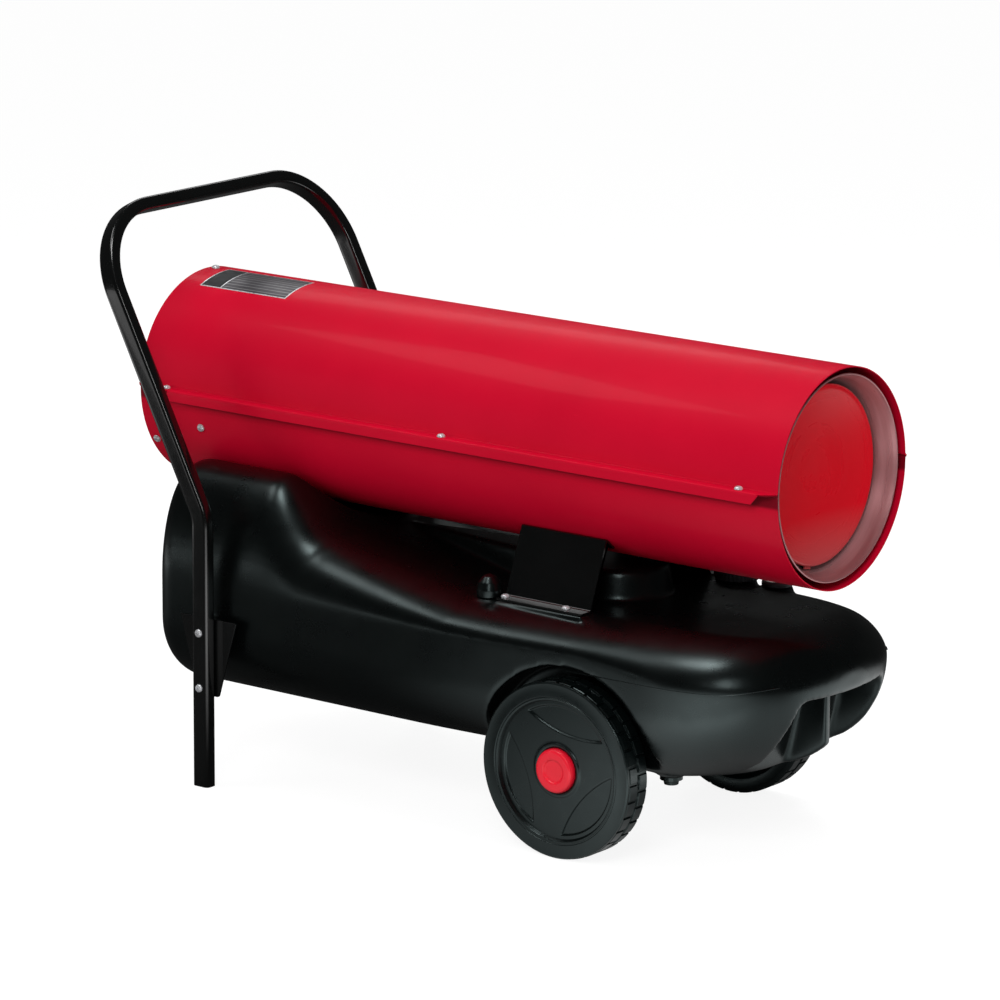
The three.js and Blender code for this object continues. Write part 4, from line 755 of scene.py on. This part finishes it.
def flame_baffle_piece():
    """A dished disc with a rolled edge on three arms."""
    def dish(r):
        return BAFFLE_X - 16 * (1 - (r / BAFFLE_RADIUS) ** 2)

    edge, roll = BAFFLE_RADIUS - 3, 3
    front = [(r, dish(r)) for r in steps(0, edge, 24)]
    low = dish(edge) - roll
    turn = [(edge + roll * math.sin(a), low + roll * math.cos(a)) for a in steps(0, math.pi / 2, 6)[1:]]
    back = [(r - (1.5 if r > edge else 0), h - 1.5) for r, h in reversed(front)]
    rim = [(BAFFLE_RADIUS, BAFFLE_X - 7), (BAFFLE_RADIUS - 1.5, BAFFLE_X - 7)]
    shapes = [turned([*front, *turn, *rim, *back], TUBE_CENTRE, ALONG, 160)]
    arm = ((BAFFLE_RADIUS - 4, 5), (BAFFLE_RADIUS - 1, 9), (CONE_RADIUS - 13, 9))
    section = ((-7, 0), (7, 0), (7, 2), (-7, 2))
    for degrees in (20, 140, 260):
        out, side = spoke(degrees)
        rings = []
        for reach, behind in arm:
            middle = Vector((BAFFLE_X - behind, 0, AXIS_Z)) + out * reach
            rings.append([middle + side * s + Vector((h, 0, 0)) for s, h in section])
        shapes.append(skin(rings))
    baffle = to_object("dished_flame_baffle", merged(*shapes))
    smooth(baffle, 40)
    return fit(baffle, "heater", red_disc_with_painted_reflection(), ["flame_baffle"])


def red_disc_with_painted_reflection():
    """Red-lacquered disc, glossy, with a painted reflection: paler and greyer towards its lower edge."""
    lacquer = finish("red lacquered disc", (212, 6, 28), (204, 5, 25), 9.0, (0.24, 0.34), 900.0, 0.00002,
                     round_tube=True, Specular_IOR_Level=0.25, Coat_Weight=0.2, Coat_Roughness=0.1)
    low = (AXIS_Z - BAFFLE_RADIUS) * MM
    # Painted reflection: pinkish grey laid over the disc's lowest 70 mm, fading out upwards.
    retint(lacquer, height_fade(lacquer.node_tree, low, low + 0.07, 0.55, 0.0), (150, 92, 92))
    return lacquer


# ---- fuel tank ----
def tank_half_width(x):
    base = mix(TANK_HALF, NOSE_HALF, ease(DECK_LEVEL - 100, NOSE_START, x))
    u = min(max((x - NOSE_START) / (TANK_TIP - NOSE_START), 0), 1)
    return base * (1 - u ** NOSE_POWER) ** (1 / NOSE_POWER)


def deck_height(x):
    stepped = mix(PLATEAU_Z, DECK_REAR_Z, ease(PLATEAU_END, DECK_START, x))
    slope = min(max((x - DECK_START) / (DECK_LEVEL - DECK_START), 0), 1)
    v = min(max((x - TANK_TIP + NOSE_DROP_LENGTH) / NOSE_DROP_LENGTH, 0), 1)
    return mix(stepped, DECK_Z, slope ** 0.8) - NOSE_DROP * (1 - math.sqrt(1 - v * v))


def belly_height(x):
    u = min(max((x - CHIN_START) / (TANK_TIP - CHIN_START), 0), 1)
    return TANK_BOTTOM + CHIN_RISE * (1 - math.sqrt(1 - u * u))


def tank_ring(x, inset, count=16):
    """The tank's section, with its own shoulder and bilge rounds at each place along it."""
    half, top, bottom = tank_half_width(x) - inset, deck_height(x) - inset, belly_height(x) + inset
    nose_share = ease(NOSE_START, (NOSE_START + TANK_TIP) / 2 + 60, x)
    flank_top = mix(SHOULDER_Z, NOSE_SHOULDER_Z, ease(0, NOSE_START + 80, x))
    shoulder = (min(SHOULDER_WIDTH - inset, half * 0.8), max(top - flank_top, 4))
    bilge_y = mix(mix(BILGE, NOSE_BILGE, ease(DECK_LEVEL, NOSE_START, x)), NOSE_HALF, nose_share)
    bilge = (min(bilge_y - inset, half * 0.9), min(BILGE - inset, (top - shoulder[1] - bottom) * 0.98))
    sharp = mix(1, 1.2, ease(DECK_LEVEL - 60, DECK_LEVEL + 120, x))
    ring = []
    corners = ((1, 1, shoulder), (-1, 1, shoulder), (-1, -1, bilge), (1, -1, bilge))
    for quadrant, (sy, sz, (ry, rz)) in enumerate(corners):
        cy = sy * (half - ry)
        cz = top - rz if sz > 0 else bottom + rz
        power = sharp if sz > 0 else 1
        for a in steps(quadrant * math.pi / 2, (quadrant + 1) * math.pi / 2, count):
            across, rise = (math.copysign(abs(v) ** power, v) for v in (math.cos(a), math.sin(a)))
            ring.append((x, cy + ry * across, cz + rz * rise))
    return ring


def tank_body():
    rings = []
    for degrees in steps(0, 90, 9):
        a = math.radians(degrees)
        x = TANK_REAR + TANK_REAR_ROUND * (1 - math.cos(a))
        rings.append(tank_ring(x, TANK_REAR_ROUND * (1 - math.sin(a))))
    ends = [TANK_REAR + TANK_REAR_ROUND, PLATEAU_END, DECK_START, DECK_LEVEL, NOSE_START]
    for first, last, count in zip(ends, ends[1:], (8, 24, 24, 30)):
        rings += [tank_ring(x, 0) for x in steps(first, last, count)[1:]]
    for degrees in steps(0, 88, 44)[1:]:
        reach = math.sin(math.radians(degrees)) ** (2 / NOSE_POWER)
        rings.append(tank_ring(mix(NOSE_START, TANK_TIP, reach), 0))
    return skin(rings)


def spine_shape():
    """Boat-shaped rise under the tube, pointed behind and round in front, with a drafted side."""
    round_x = SPINE_FRONT - SPINE_HALF

    def outline(grow):
        half = SPINE_HALF + grow
        controls = [(SPINE_REAR - 3 * grow, 0), (SPINE_REAR + 110, -half * 0.36),
                    (round_x - 150, -half * 0.45), (round_x, -half)]
        points = []
        for t in steps(0, 1, 40)[:-1]:
            weights = ((1 - t) ** 3, 3 * t * (1 - t) ** 2, 3 * t * t * (1 - t), t ** 3)
            points.append(tuple(sum(w * c[k] for w, c in zip(weights, controls)) for k in (0, 1)))
        quarter = math.pi / 2
        points += [(round_x + half * math.cos(a), half * math.sin(a)) for a in steps(-quarter, quarter, 32)]
        return points + [(x, -y) for x, y in reversed(points[1:40])]

    levels = ((DECK_Z - 30, 9), (DECK_Z, 6), (SPINE_TOP - 3, -1), (SPINE_TOP, -4))
    return skin([[(x, y, z) for x, y in outline(grow)] for z, grow in levels])


def recess_shapes():
    """The two hand holds in the nose, which widen forward and down, and the gap that joins them in front of
    the rib."""
    half_rib = RIB_THICKNESS / 2
    shapes = []
    for low, high, forward in ((-RECESS_HALF, -half_rib, 0), (half_rib, RECESS_HALF, 0),
                               (-half_rib - 6, half_rib + 6, RIB_FORWARD)):
        top_x = RECESS_FLOOR_TOP + forward
        bottom_x = top_x if forward else RECESS_FLOOR_BOTTOM
        corners = [(low, RECESS_BOTTOM), (high, RECESS_BOTTOM), (high, RECESS_TOP), (low, RECESS_TOP)]
        floor, mouth = [], []
        for y, z in round_loop(corners, [RECESS_CORNER if abs(y) > 50 else 3 for y, _ in corners], 6):
            rise = (z - RECESS_BOTTOM) / (RECESS_TOP - RECESS_BOTTOM)
            narrow, wide = (mix(0.95, 0.86, rise), mix(1.45, 1.02, rise)) if abs(y) > 50 else (1, 1)
            floor.append((mix(bottom_x, top_x, rise), y * narrow, z))
            mouth.append((TANK_TIP + 20, y * wide, z))
        shapes.append(skin([floor, mouth]))
    return shapes


def boss(x, y, radius, low, high, edge=2):
    outline = [(0, low), (radius + 1, low), (radius, high - edge), (radius - edge, high), (0, high)]
    return turned(outline, (x, y, 0), UP, 64)


def fuel_tank_piece():
    """The blow-moulded tank: trough and spine under the tube, wheel arches, seats and bosses, all melted
    into one skin with soft rounds."""
    tank = to_object("blow_moulded_tank", tank_body())
    combine(tank, drum(TANK_REAR - 20, DECK_LEVEL, TUBE_RADIUS + 11, TUBE_CENTRE, ALONG, 160))
    combine(tank, spine_shape(), "UNION")
    for shape in recess_shapes():
        combine(tank, shape)
    wheel_centre, arch, face = (0, 0, AXLE_Z), WHEEL_RADIUS + 17, WHEEL_INNER - 10.5
    arch_outline = [(0, face), (arch - 6, face), (arch, WHEEL_INNER - 4), (arch, 260), (0, 260)]
    for side in SIDES.values():
        combine(tank, turned(arch_outline, wheel_centre, (0, side, 0), 128))
    combine(tank, block(-20, 20, -WHEEL_INNER + 12, WHEEL_INNER - 12, AXLE_Z - 16, AXLE_Z + 25), "UNION")
    root = DECK_Z - 20
    for side in SIDES.values():
        axis = (0, side, 0)
        combine(tank, drum(WHEEL_INNER - 16, WHEEL_INNER - SEAT_GAP, 16, wheel_centre, axis, 48, 15), "UNION")
        combine(tank, drum(TANK_HALF - 16, 245, 14, (LEG_X, 0, 227), axis, 48, 12), "UNION")
        combine(tank, block(-156, -6, side * 136, side * 166, root, PAD_Z), "UNION")
    for seat in (
        (BREATHER_X, -FITTING_Y, 20, root, PAD_Z), (BREATHER_X, FITTING_Y, 20, root, PAD_Z),
        (GAUGE_X, FITTING_Y, 23, root, PAD_Z), (FILLER_X, FITTING_Y, 27, root, DECK_Z + 18, 1),
        (DRAIN_X, DRAIN_Y, 18, TANK_BOTTOM - 3, TANK_BOTTOM + 20, 1),
    ):
        combine(tank, boss(*seat), "UNION")
    melt = tank.modifiers.new("moulded rounds", "REMESH")
    melt.mode, melt.voxel_size = "VOXEL", 0.003
    relax = tank.modifiers.new("relaxed", "SMOOTH")
    relax.factor, relax.iterations = 0.5, 12
    settle(tank)
    tank.data.shade_smooth()
    return dress(tank, "heater", "tank_black", "fuel_tank")


def parting_line():
    """The fine raised line that the mould's two halves leave round the flanks and the nose."""
    for name, side in SIDES.items():
        points = []
        for x in steps(2, 300, 26):
            rise = mix(263, 274, ease(235, 320, x))
            points.append(Vector((x, side * (tank_half_width(x) - 0.4), rise)))
        part(f"{name}_parting_line", tube_line(points, 0.8, 8, 2), "heater", "tank_black", angle=35)


def wheel_point(side, radius, angle, depth):
    """A point of a wheel, with its depth from the wheel's inner face."""
    return radius * math.cos(angle), side * (WHEEL_INNER + depth), AXLE_Z + radius * math.sin(angle)


# ---- wheels ----
BLOCK_COUNT = 32
DISC_FACE = 43  # from the wheel's inner face
POCKET_RADIUS, POCKET_REACH, POCKET_DEPTH, POCKET_ANGLE = 92, 53, 3, 79


def tread_shape(side):
    """The tyre: two staggered rows of blocks between a rim ring on each side."""
    groove_top, groove_floor = 2.4, 1.7
    pitch = math.pi * WHEEL_RADIUS / BLOCK_COUNT
    marks = []
    for i in range(2 * BLOCK_COUNT):
        row = "far" if i % 2 else "near"
        for offset, cut in ((-groove_top, ""), (-groove_floor, row), (groove_floor, row), (groove_top, "")):
            marks.append(((i * pitch + offset) / WHEEL_RADIUS, cut))
    tread = WHEEL_RADIUS - 3
    inner_rim = [(96, 12), (104, 3), (110, 1.2), (118, 1), (123, 4)]
    outer_rim = [(124, 44.4), (124, 47.4), (122, 48.8), (116, 48.2), (108, 48.6), (104.6, 49), (104, 48.2),
                 (102.6, 48.2), (102, 49), (99.6, 48.6), (98, 46), (96.6, DISC_FACE - 0.6),
                 (95, DISC_FACE - 1)]
    far_row, near_row = [(WHEEL_RADIUS, 6.2), (WHEEL_RADIUS, 21.5)], [(WHEEL_RADIUS, 27.7), (WHEEL_RADIUS, 43)]
    between = [(tread, 22.6), (tread, 26.6)]
    lines = ((inner_rim, None), (far_row, "far"), (between, None), (near_row, "near"), (outer_rim, None))
    rings = []
    for line, row in lines:
        for radius, depth in line:
            rings.append([wheel_point(side, tread if row == cut else radius, a, depth) for a, cut in marks])
    return skin([*rings, rings[0]], caps=False)


def pocket_depth(radius, angle):
    """How deep the disc's face lies in one of its three lens-shaped pockets."""
    half_chord = POCKET_RADIUS * math.sin(math.pi / 4)
    sagitta = POCKET_RADIUS * math.cos(math.pi / 4) - POCKET_REACH
    arc = (half_chord ** 2 + sagitta ** 2) / (2 * sagitta)
    deepest = 0
    for turn in (0, 120, 240):
        middle = math.radians(POCKET_ANGLE + turn)
        centre = Vector((math.cos(middle), math.sin(middle))) * (POCKET_REACH + arc)
        here = Vector((math.cos(angle), math.sin(angle))) * radius
        inside = min(POCKET_RADIUS - radius, arc - (here - centre).length)
        deepest = max(deepest, ease(0, 2.4, inside))
    return POCKET_DEPTH * deepest


def disc_shape(side, sides=480):
    """The wheel's disc: collar round the cap, flat face with three pockets, plain turned back."""
    seat, bore = 31.8, 8.1
    fixed = [(bore, 0), (24, 0), (26, 9), (99, 10), (99, DISC_FACE)]
    face = [(r, DISC_FACE) for r in steps(97, 42, 72)]
    collar = [(40, DISC_FACE), (38.6, DISC_FACE + 0.4), (38, DISC_FACE + 1.6), (37, DISC_FACE + 2),
              (33, DISC_FACE + 2), (seat, DISC_FACE + 1), (seat, 35), (bore, 35)]
    angles = [2 * math.pi * i / sides for i in range(sides)]
    rings = []
    for radius, depth in [*fixed, *face, *collar, fixed[0]]:
        flat = 42 < radius < 97 and depth == DISC_FACE
        sunk = [pocket_depth(radius, a) if flat else 0 for a in angles]
        rings.append([wheel_point(side, radius, a, depth - cut) for a, cut in zip(angles, sunk)])
    return skin(rings, caps=False)


def wheel_pieces(name, side):
    body = f"{name}_wheel"
    tyre = to_object(f"{name}_wheel_tread", tread_shape(side))
    soften(tyre, 0.5, 2, 30)
    dress(tyre, body, "wheel_black")
    part(f"{name}_wheel_disc", disc_shape(side), body, "wheel_black", f"wheel_{name}", angle=50)
    foot = WHEEL_INNER + 35 + SEAT_GAP
    top = foot + 18
    outline = [(0, top - 7), (8.3, top - 7), (8.3, foot), (31.2, foot), (31.2, top - 5), (29.6, top - 1.4),
               (26.5, top), (18.6, top), (16.6, top - 0.8), (15.6, top - 2.4), (13.6, top - 3), (0, top - 2.6)]
    line = rounded(outline, [0, 0, 0, 0, 3, 2.5, 2, 1, 1, 0.8, 1, 0], 3)
    cap = turned(line, (0, 0, AXLE_Z), (0, side, 0), 128)
    part(f"{name}_hub_cap", cap, body, "red_plastic", f"hub_cap_{name}", angle=45)


# ---- handle and brackets ----
HANDLE_DEEP, HANDLE_WIDE, HANDLE_CORNER, HANDLE_WALL = 28.7, 20, 7, 1.5
KNEE_Z, KNEE_RADIUS, HANDLE_LEAN, HANDLE_TOP_Z, HANDLE_BEND = 396, 60, math.radians(27.6), 802, 120


def handle_stations():
    """Centre line from the near foot over to the far foot, each with the section's two axes."""
    lean, across = HANDLE_LEAN, Vector((0, 1, 0))
    half = [(Vector((LEG_X, -LEG_Y, z)), Vector((1, 0, 0)), across) for z in (0, 60, 200)]
    start = KNEE_Z - KNEE_RADIUS * math.tan(lean / 2)
    for a in steps(0, lean, 10):
        at = Vector((LEG_X - KNEE_RADIUS * (1 - math.cos(a)), -LEG_Y, start + KNEE_RADIUS * math.sin(a)))
        half.append((at, Vector((math.cos(a), 0, math.sin(a))), across))
    incline = Vector((-math.sin(lean), 0, math.cos(lean)))
    deep = Vector((math.cos(lean), 0, math.sin(lean)))
    slant = (HANDLE_TOP_Z - KNEE_Z) / math.cos(lean)
    for a in steps(0, math.pi / 2, 24):
        rise = slant - HANDLE_BEND + HANDLE_BEND * math.sin(a)
        at = Vector((LEG_X, -LEG_Y + HANDLE_BEND * (1 - math.cos(a)), KNEE_Z)) + incline * rise
        half.append((at, deep, across * math.cos(a) - incline * math.sin(a)))
    mirror = Vector((1, -1, 1))
    return half + [(at * mirror, deep, wide * mirror) for at, deep, wide in reversed(half)]


def handle_piece():
    def section(shrink):
        deep, wide = HANDLE_DEEP / 2 - shrink, HANDLE_WIDE / 2 - shrink
        corners = [(deep, wide), (-deep, wide), (-deep, -wide), (deep, -wide)]
        return round_loop(corners, HANDLE_CORNER - shrink, 7)

    def wall(stations, shrink):
        return [[at + deep * p.x + wide * p.y for p in section(shrink)] for at, deep, wide in stations]

    stations = handle_stations()
    bores = [wall(ends, HANDLE_WALL) for ends in (stations[:3], stations[-3:])]
    rings = [*reversed(bores[0]), *wall(stations, 0), *reversed(bores[1])]
    return part("tube_handle_and_legs", skin(rings), "heater", "frame_black", "handle_frame")


def leg_bracket_piece(name, side):
    """A flat tapered plate between the leg and the tank's flank."""
    outer = LEG_Y - HANDLE_WIDE / 2 - SEAT_GAP
    corners = [(LEG_X - 52, 245), (LEG_X - 19, 131), (LEG_X + 19, 131), (LEG_X + 52, 245)]
    outline = round_loop(corners, [2, 5, 5, 2], 4)
    plate = to_object(f"{name}_leg_plate", along_y(outline, side * (outer - 3), side * outer))
    soften(plate, 0.5, 2, 45)
    return dress(plate, "heater", "frame_black", f"leg_bracket_{name}")


def bracket_piece(name, side):
    """A bent plate: a foot on the tank's pad, a slanted web and a short cradle under the tube."""
    sheet, (rear, front) = 3, (-154, -8)
    foot_z = PAD_Z + SEAT_GAP + sheet / 2
    cradle = TUBE_RADIUS + SEAT_GAP + sheet / 2 + 0.2
    touch, span = 43, math.degrees(22 / TUBE_RADIUS)
    arc = [on_tube(cradle, -90 + a, 0).yz for a in steps(touch, touch - span, 6)]
    arc = [Vector((abs(p.x), p.y)) for p in arc]
    bent = rounded([(164, foot_z), (142, foot_z), arc[0], arc[1]], [0, 5, 3, 0], 6)
    section = folded([(side * p.x, p.y) for p in [*bent[:-1], *arc[1:]]], sheet)
    bracket = to_object(f"{name}_saddle_bracket", along_x(section, [rear, front]))
    soften(bracket, 0.6, 2, 45)
    return dress(bracket, "heater", "frame_black", f"saddle_bracket_{name}")


# ---- screws ----
def screw_mesh():
    """A pan head with a cross recess and a short flat washer face, with its seat at the origin."""
    head = [(0, -4), (2.4, -4), (2.4, 0.3), (6, 0.3), (6, 1.0), (5.6, 2.2), (4.6, 3.4), (3, 4.2), (0, 4.4)]
    screw = to_object("screw_pattern", turned(head, (-SHIFT, 0, 0), (0, 0, 1), 40))
    for long, short in ((2.9, 0.6), (0.6, 2.9)):
        combine(screw, block(-long - SHIFT, long - SHIFT, -short, short, 2.6, 6))
    smooth(screw, 40)
    return screw


def screw_pieces():
    pattern = screw_mesh()
    for name in frame["nodes"]:
        if "screw" not in name:
            continue
        low, high = box_mm(name)
        centre = (low + high) / 2
        if name.startswith(("seam", "saddle")):
            seat, outward = Vector((centre.x, centre.y, high.z - SCREW_HEAD)), Vector(UP)
        elif name.startswith("leg"):
            outward = Vector((0, math.copysign(1, centre.y), 0))
            seat = Vector((centre.x, outward.y * (LEG_Y + HANDLE_WIDE / 2), centre.z))
        else:
            outward = Vector((0, centre.y, centre.z - AXIS_Z)).normalized()
            seat = Vector((centre.x, 0, AXIS_Z)) + outward * TUBE_RADIUS
        screw = bpy.data.objects.new(f"{name}_head", pattern.data.copy())
        bpy.context.scene.collection.objects.link(screw)
        turn = outward.to_track_quat("Z", "Y").to_matrix().to_4x4()
        turn.translation = Vector(((seat.x + SHIFT) * MM, seat.y * MM, seat.z * MM))
        screw.data.transform(turn)
        dress(screw, "heater", "zinc", name)
    bpy.data.objects.remove(pattern)


# ---- tank fittings ----
def breather_piece():
    seat = PAD_Z + SEAT_GAP
    outline = [(0, seat - 10), (5.5, seat - 10), (5.5, seat), (19, seat), (19, seat + 10), (16, seat + 20),
               (9, seat + 28), (0, seat + 31.5)]
    cap = turned(rounded(outline, [0, 0, 0, 1, 3, 6, 8, 0], 6), (BREATHER_X, -FITTING_Y, 0), UP, 96)
    return part("breather_cap_turned", cap, "heater", "tank_black", "breather_cap")


def filler_cap_piece():
    """A cap with a ribbed skirt and a cross grip."""
    seat = DECK_Z + 18 + 2 * SEAT_GAP + 3
    ribs, skirt, foot = 36, 33.6, DECK_Z + 3
    profile = [(0, seat), (27.6, seat), (27.6, foot), (skirt - 1.6, foot), (skirt, foot + 2), (skirt, seat - 1),
               (skirt - 1.4, seat + 2), (skirt - 4, seat + 4.4), (skirt - 9, seat + 5), (0, seat + 5)]
    rings = []
    for index, (radius, z) in enumerate(profile):
        ring = []
        for i in range(ribs * 4):
            a = 2 * math.pi * i / (ribs * 4)
            r = radius - (0.9 if i % 4 in (0, 1) and 4 <= index <= 6 else 0)
            ring.append((FILLER_X + r * math.cos(a), FITTING_Y + r * math.sin(a), z))
        rings.append(ring)
    grip = [(FILLER_X + reach, seat + rise) for reach, rise in ((-27, 4), (27, 4), (22, 13), (-22, 13))]
    bar = along_y(round_loop(grip, [0, 0, 4, 4]), FITTING_Y - 4, FITTING_Y + 4)
    cap = to_object("ribbed_filler_cap", merged(skin(rings, caps=False), bar))
    soften(cap, 0.5, 2, 40)
    return dress(cap, "filler_closure", "dark_plastic", "filler_cap")


def gauge_piece():
    """A float gauge: dark bezel, pale dial with plain marks and a red needle."""
    seat, at = PAD_Z + SEAT_GAP, (GAUGE_X, FITTING_Y, 0)
    outline = [(0, seat - 10), (11.5, seat - 10), (11.5, seat), (22, seat), (22, seat + 5), (19.6, seat + 8),
               (17.6, seat + 8), (17, seat + 5.6), (0, seat + 5.6)]
    bezel = turned(rounded(outline, [0, 0, 0, 1, 2, 1, 0.6, 0.6, 0], 3), at, UP, 72)
    part("gauge_bezel", bezel, "heater", "dark_plastic", "fuel_gauge")
    dial_z = seat + 5.7
    part("gauge_dial", drum(dial_z - 0.4, dial_z, 16.4, at, UP, 64), "heater", "ceramic", angle=35)

    def pointing(degrees):
        a = math.radians(degrees)
        return Vector((math.cos(a), math.sin(a), 0)), Vector((-math.sin(a), math.cos(a), 0))

    marks, middle = [], Vector((GAUGE_X, FITTING_Y, dial_z))
    for i, degrees in enumerate(steps(-60, 60, 8)):
        reach = (11.5 if i % 4 == 0 else 13, 15.4)
        marks.append(raised_bar(middle, *pointing(90 + degrees), reach, 0.35, (0, 0, 0.15)))
    dress(to_object("gauge_marks", merged(*marks)), "heater", "dark_plastic")
    out, side = pointing(118)
    base, lift = middle + Vector((0, 0, 0.5)), Vector((0, 0, 0.5))
    blade = [base - out * 3 - side * 1.2, base + out * 13, base - out * 3 + side * 1.2]
    pin = turned([(0, dial_z), (2.2, dial_z), (2.2, dial_z + 1.4), (0, dial_z + 1.6)], at, UP, 24)
    needle = merged(skin([blade, [p + lift for p in blade]]), pin)
    part("gauge_needle", needle, "heater", "red_plastic", angle=35)


def fuel_hose_piece():
    """From the pick-up's barb up behind the tank's deck and into the tube's underside."""
    crossing_x, entry = -455, -90 + 35
    radial = spoke(entry)[0]

    def crossing(radius):
        return Vector((crossing_x, 0, AXIS_Z)) + radial * radius

    start = Vector((BREATHER_X - 34 - 2 * SEAT_GAP, FITTING_Y, PAD_Z + 15))
    end = crossing(TUBE_RADIUS + 18)
    shares = [(0.09, 0.01, 0.05), (0.33, 0.24, 0.4), (0.62, 0.55, 0.82), (0.88, 0.85, 0.98)]
    points = [start, *(Vector([mix(start[k], end[k], share[k]) for k in range(3)]) for share in shares)]
    points += [crossing(r) for r in (TUBE_RADIUS + 11, TUBE_RADIUS + 3, TUBE_RADIUS - 20, 90, 50, 10)]
    return part("fuel_line", tube_line(points, 4.5, 20, 10), "heater", "black_rubber", "fuel_hose", angle=50)


# ---- intake end ----
def guard_piece():
    """Wire rings and spokes round a hub, in a sleeve that sits in the tube's rear end."""
    outer, x, wire = TUBE_RADIUS - SHEET - SEAT_GAP - 0.2, TUBE_REAR + 3, 2.0
    rings = [circle(mix(22, outer, i / 8), x + wire, wire, 10) for i in range(1, 8)]
    shapes = [turned(ring, TUBE_CENTRE, ALONG, 96) for ring in rings]
    sleeve = [(outer - 1.5, x), (outer, x), (outer, x + 20), (outer - 1.5, x + 20)]
    shapes.append(turned(sleeve, TUBE_CENTRE, ALONG, 128))
    hub = rounded([(0, x + 0.2), (22, x + 0.2), (22, x + 4), (0, x + 4)], [0, 1.5, 1.5, 0], 4)
    shapes.append(turned(hub, TUBE_CENTRE, ALONG, 64))
    for degrees in range(0, 360, 60):
        out, base = spoke(degrees)[0], Vector((x + wire, 0, AXIS_Z))
        shapes.append(tube_line([base + out * r for r in (20, 80, outer - 1)], wire, 10, 2))
    return part("wire_fan_guard", merged(*shapes), "heater", "frame_black", "fan_guard")


def fan_piece():
    """Five twisted, cambered blades on a turned hub."""
    low, high = box_mm("fan")
    middle = (low.x + high.x) / 2
    reach = min((high.z - low.z) / 2, TUBE_RADIUS - 15.5)
    hub = [(6.3, -18), (26, -18), (28, -15), (28, 16), (24, 18), (6.3, 18)]
    hub_line = rounded([(r, middle + x) for r, x in hub], [0, 2, 2, 2, 2, 0], 4)
    shapes = [turned(hub_line, TUBE_CENTRE, ALONG, 72)]
    half_sheet = Vector((0.9, 0, 0))
    for degrees in range(0, 360, 72):
        out, side = spoke(degrees)
        rings = []
        for share in steps(0, 1, 14):
            radius = mix(26, reach - 0.6, share)
            pitch = math.radians(mix(40, 26, share))
            chord = 60 * math.sin(math.pi * (0.3 + 0.52 * share)) ** 0.5
            along = Vector((math.sin(pitch), 0, 0)) + side * math.cos(pitch)
            lift = Vector((math.cos(pitch), 0, 0)) - side * math.sin(pitch)
            root = Vector((middle, 0, AXIS_Z)) + out * radius
            line = [root + along * (s * chord) + lift * (8 * (0.25 - s * s)) for s in steps(-0.5, 0.5, 10)]
            rings.append([p + half_sheet for p in line] + [p - half_sheet for p in reversed(line)])
        shapes.append(skin(rings))
    return part("five_blade_fan", merged(*shapes), "fan_rotor", "cast_aluminium", "fan")


# ---- control box ----
def control_panel():
    """Tick marks round the thermostat knob, on the box's face."""
    low, high = box_mm("thermostat_knob")
    radius = (high.x - low.x) / 2
    base = Vector(((low.x + high.x) / 2, box_mm("control_box")[1].y, (low.z + high.z) / 2))
    ticks = []
    for i, degrees in enumerate(steps(225, -45, 12)):
        a = math.radians(degrees)
        out, side = Vector((-math.cos(a), 0, math.sin(a))), Vector((math.sin(a), 0, math.cos(a)))
        reach = (radius + 3, radius + (7.5 if i % 3 == 0 else 5.5))
        ticks.append(raised_bar(base, out, side, reach, 0.5, (0, 0.2, 0)))
    dress(to_object("thermostat_ticks", merged(*ticks)), "heater", "ceramic")


# ---- carried-over pieces ----
def dress_carried_nodes():
    """Every node that still shows gets its own slot's finish, and rounded edges where it has flat ones."""
    slots = {part["node"]: part["material_slot"] for part in frame["record"]["subparts"]}
    edge_rounds = {
        "control_box": 1.6, "thermostat_knob": 0.8, "power_switch": 0.5, "reset_button": 0.4,
        "cable_gland": 0.6, "motor_mount": 0.5, "ignition_transformer": 1.5, "rear_cradle_pad": 1.0,
        "drain_plug": 0.6, "pickup_fitting": 0.5, "air_filter_cover": 0.8, "fan_motor": 0.8, "air_pump": 0.8,
    }
    for name, thing in frame["nodes"].items():
        if thing.hide_render:
            continue
        thing.data.materials.clear()
        thing.data.materials.append(MATERIALS[slots[name]])
        if name in edge_rounds:
            soften(thing, edge_rounds[name], 2, 28)
        else:
            smooth(thing, 30)


# ---- the heater ----
make_camera()
make_lights()
make_sky()
make_floor()
bpy.context.scene.view_settings.view_transform = "Standard"
upper_half_shell()
lower_half_shell()
rating_plate()
outlet_cone_piece()
flame_baffle_piece()
fuel_tank_piece()
parting_line()
for name, side in SIDES.items():
    wheel_pieces(name, side)
    bracket_piece(name, side)
    leg_bracket_piece(name, side)
handle_piece()
screw_pieces()
breather_piece()
filler_cap_piece()
gauge_piece()
fuel_hose_piece()
guard_piece()
fan_piece()
control_panel()
dress_carried_nodes()

bpy.context.view_layer.update()
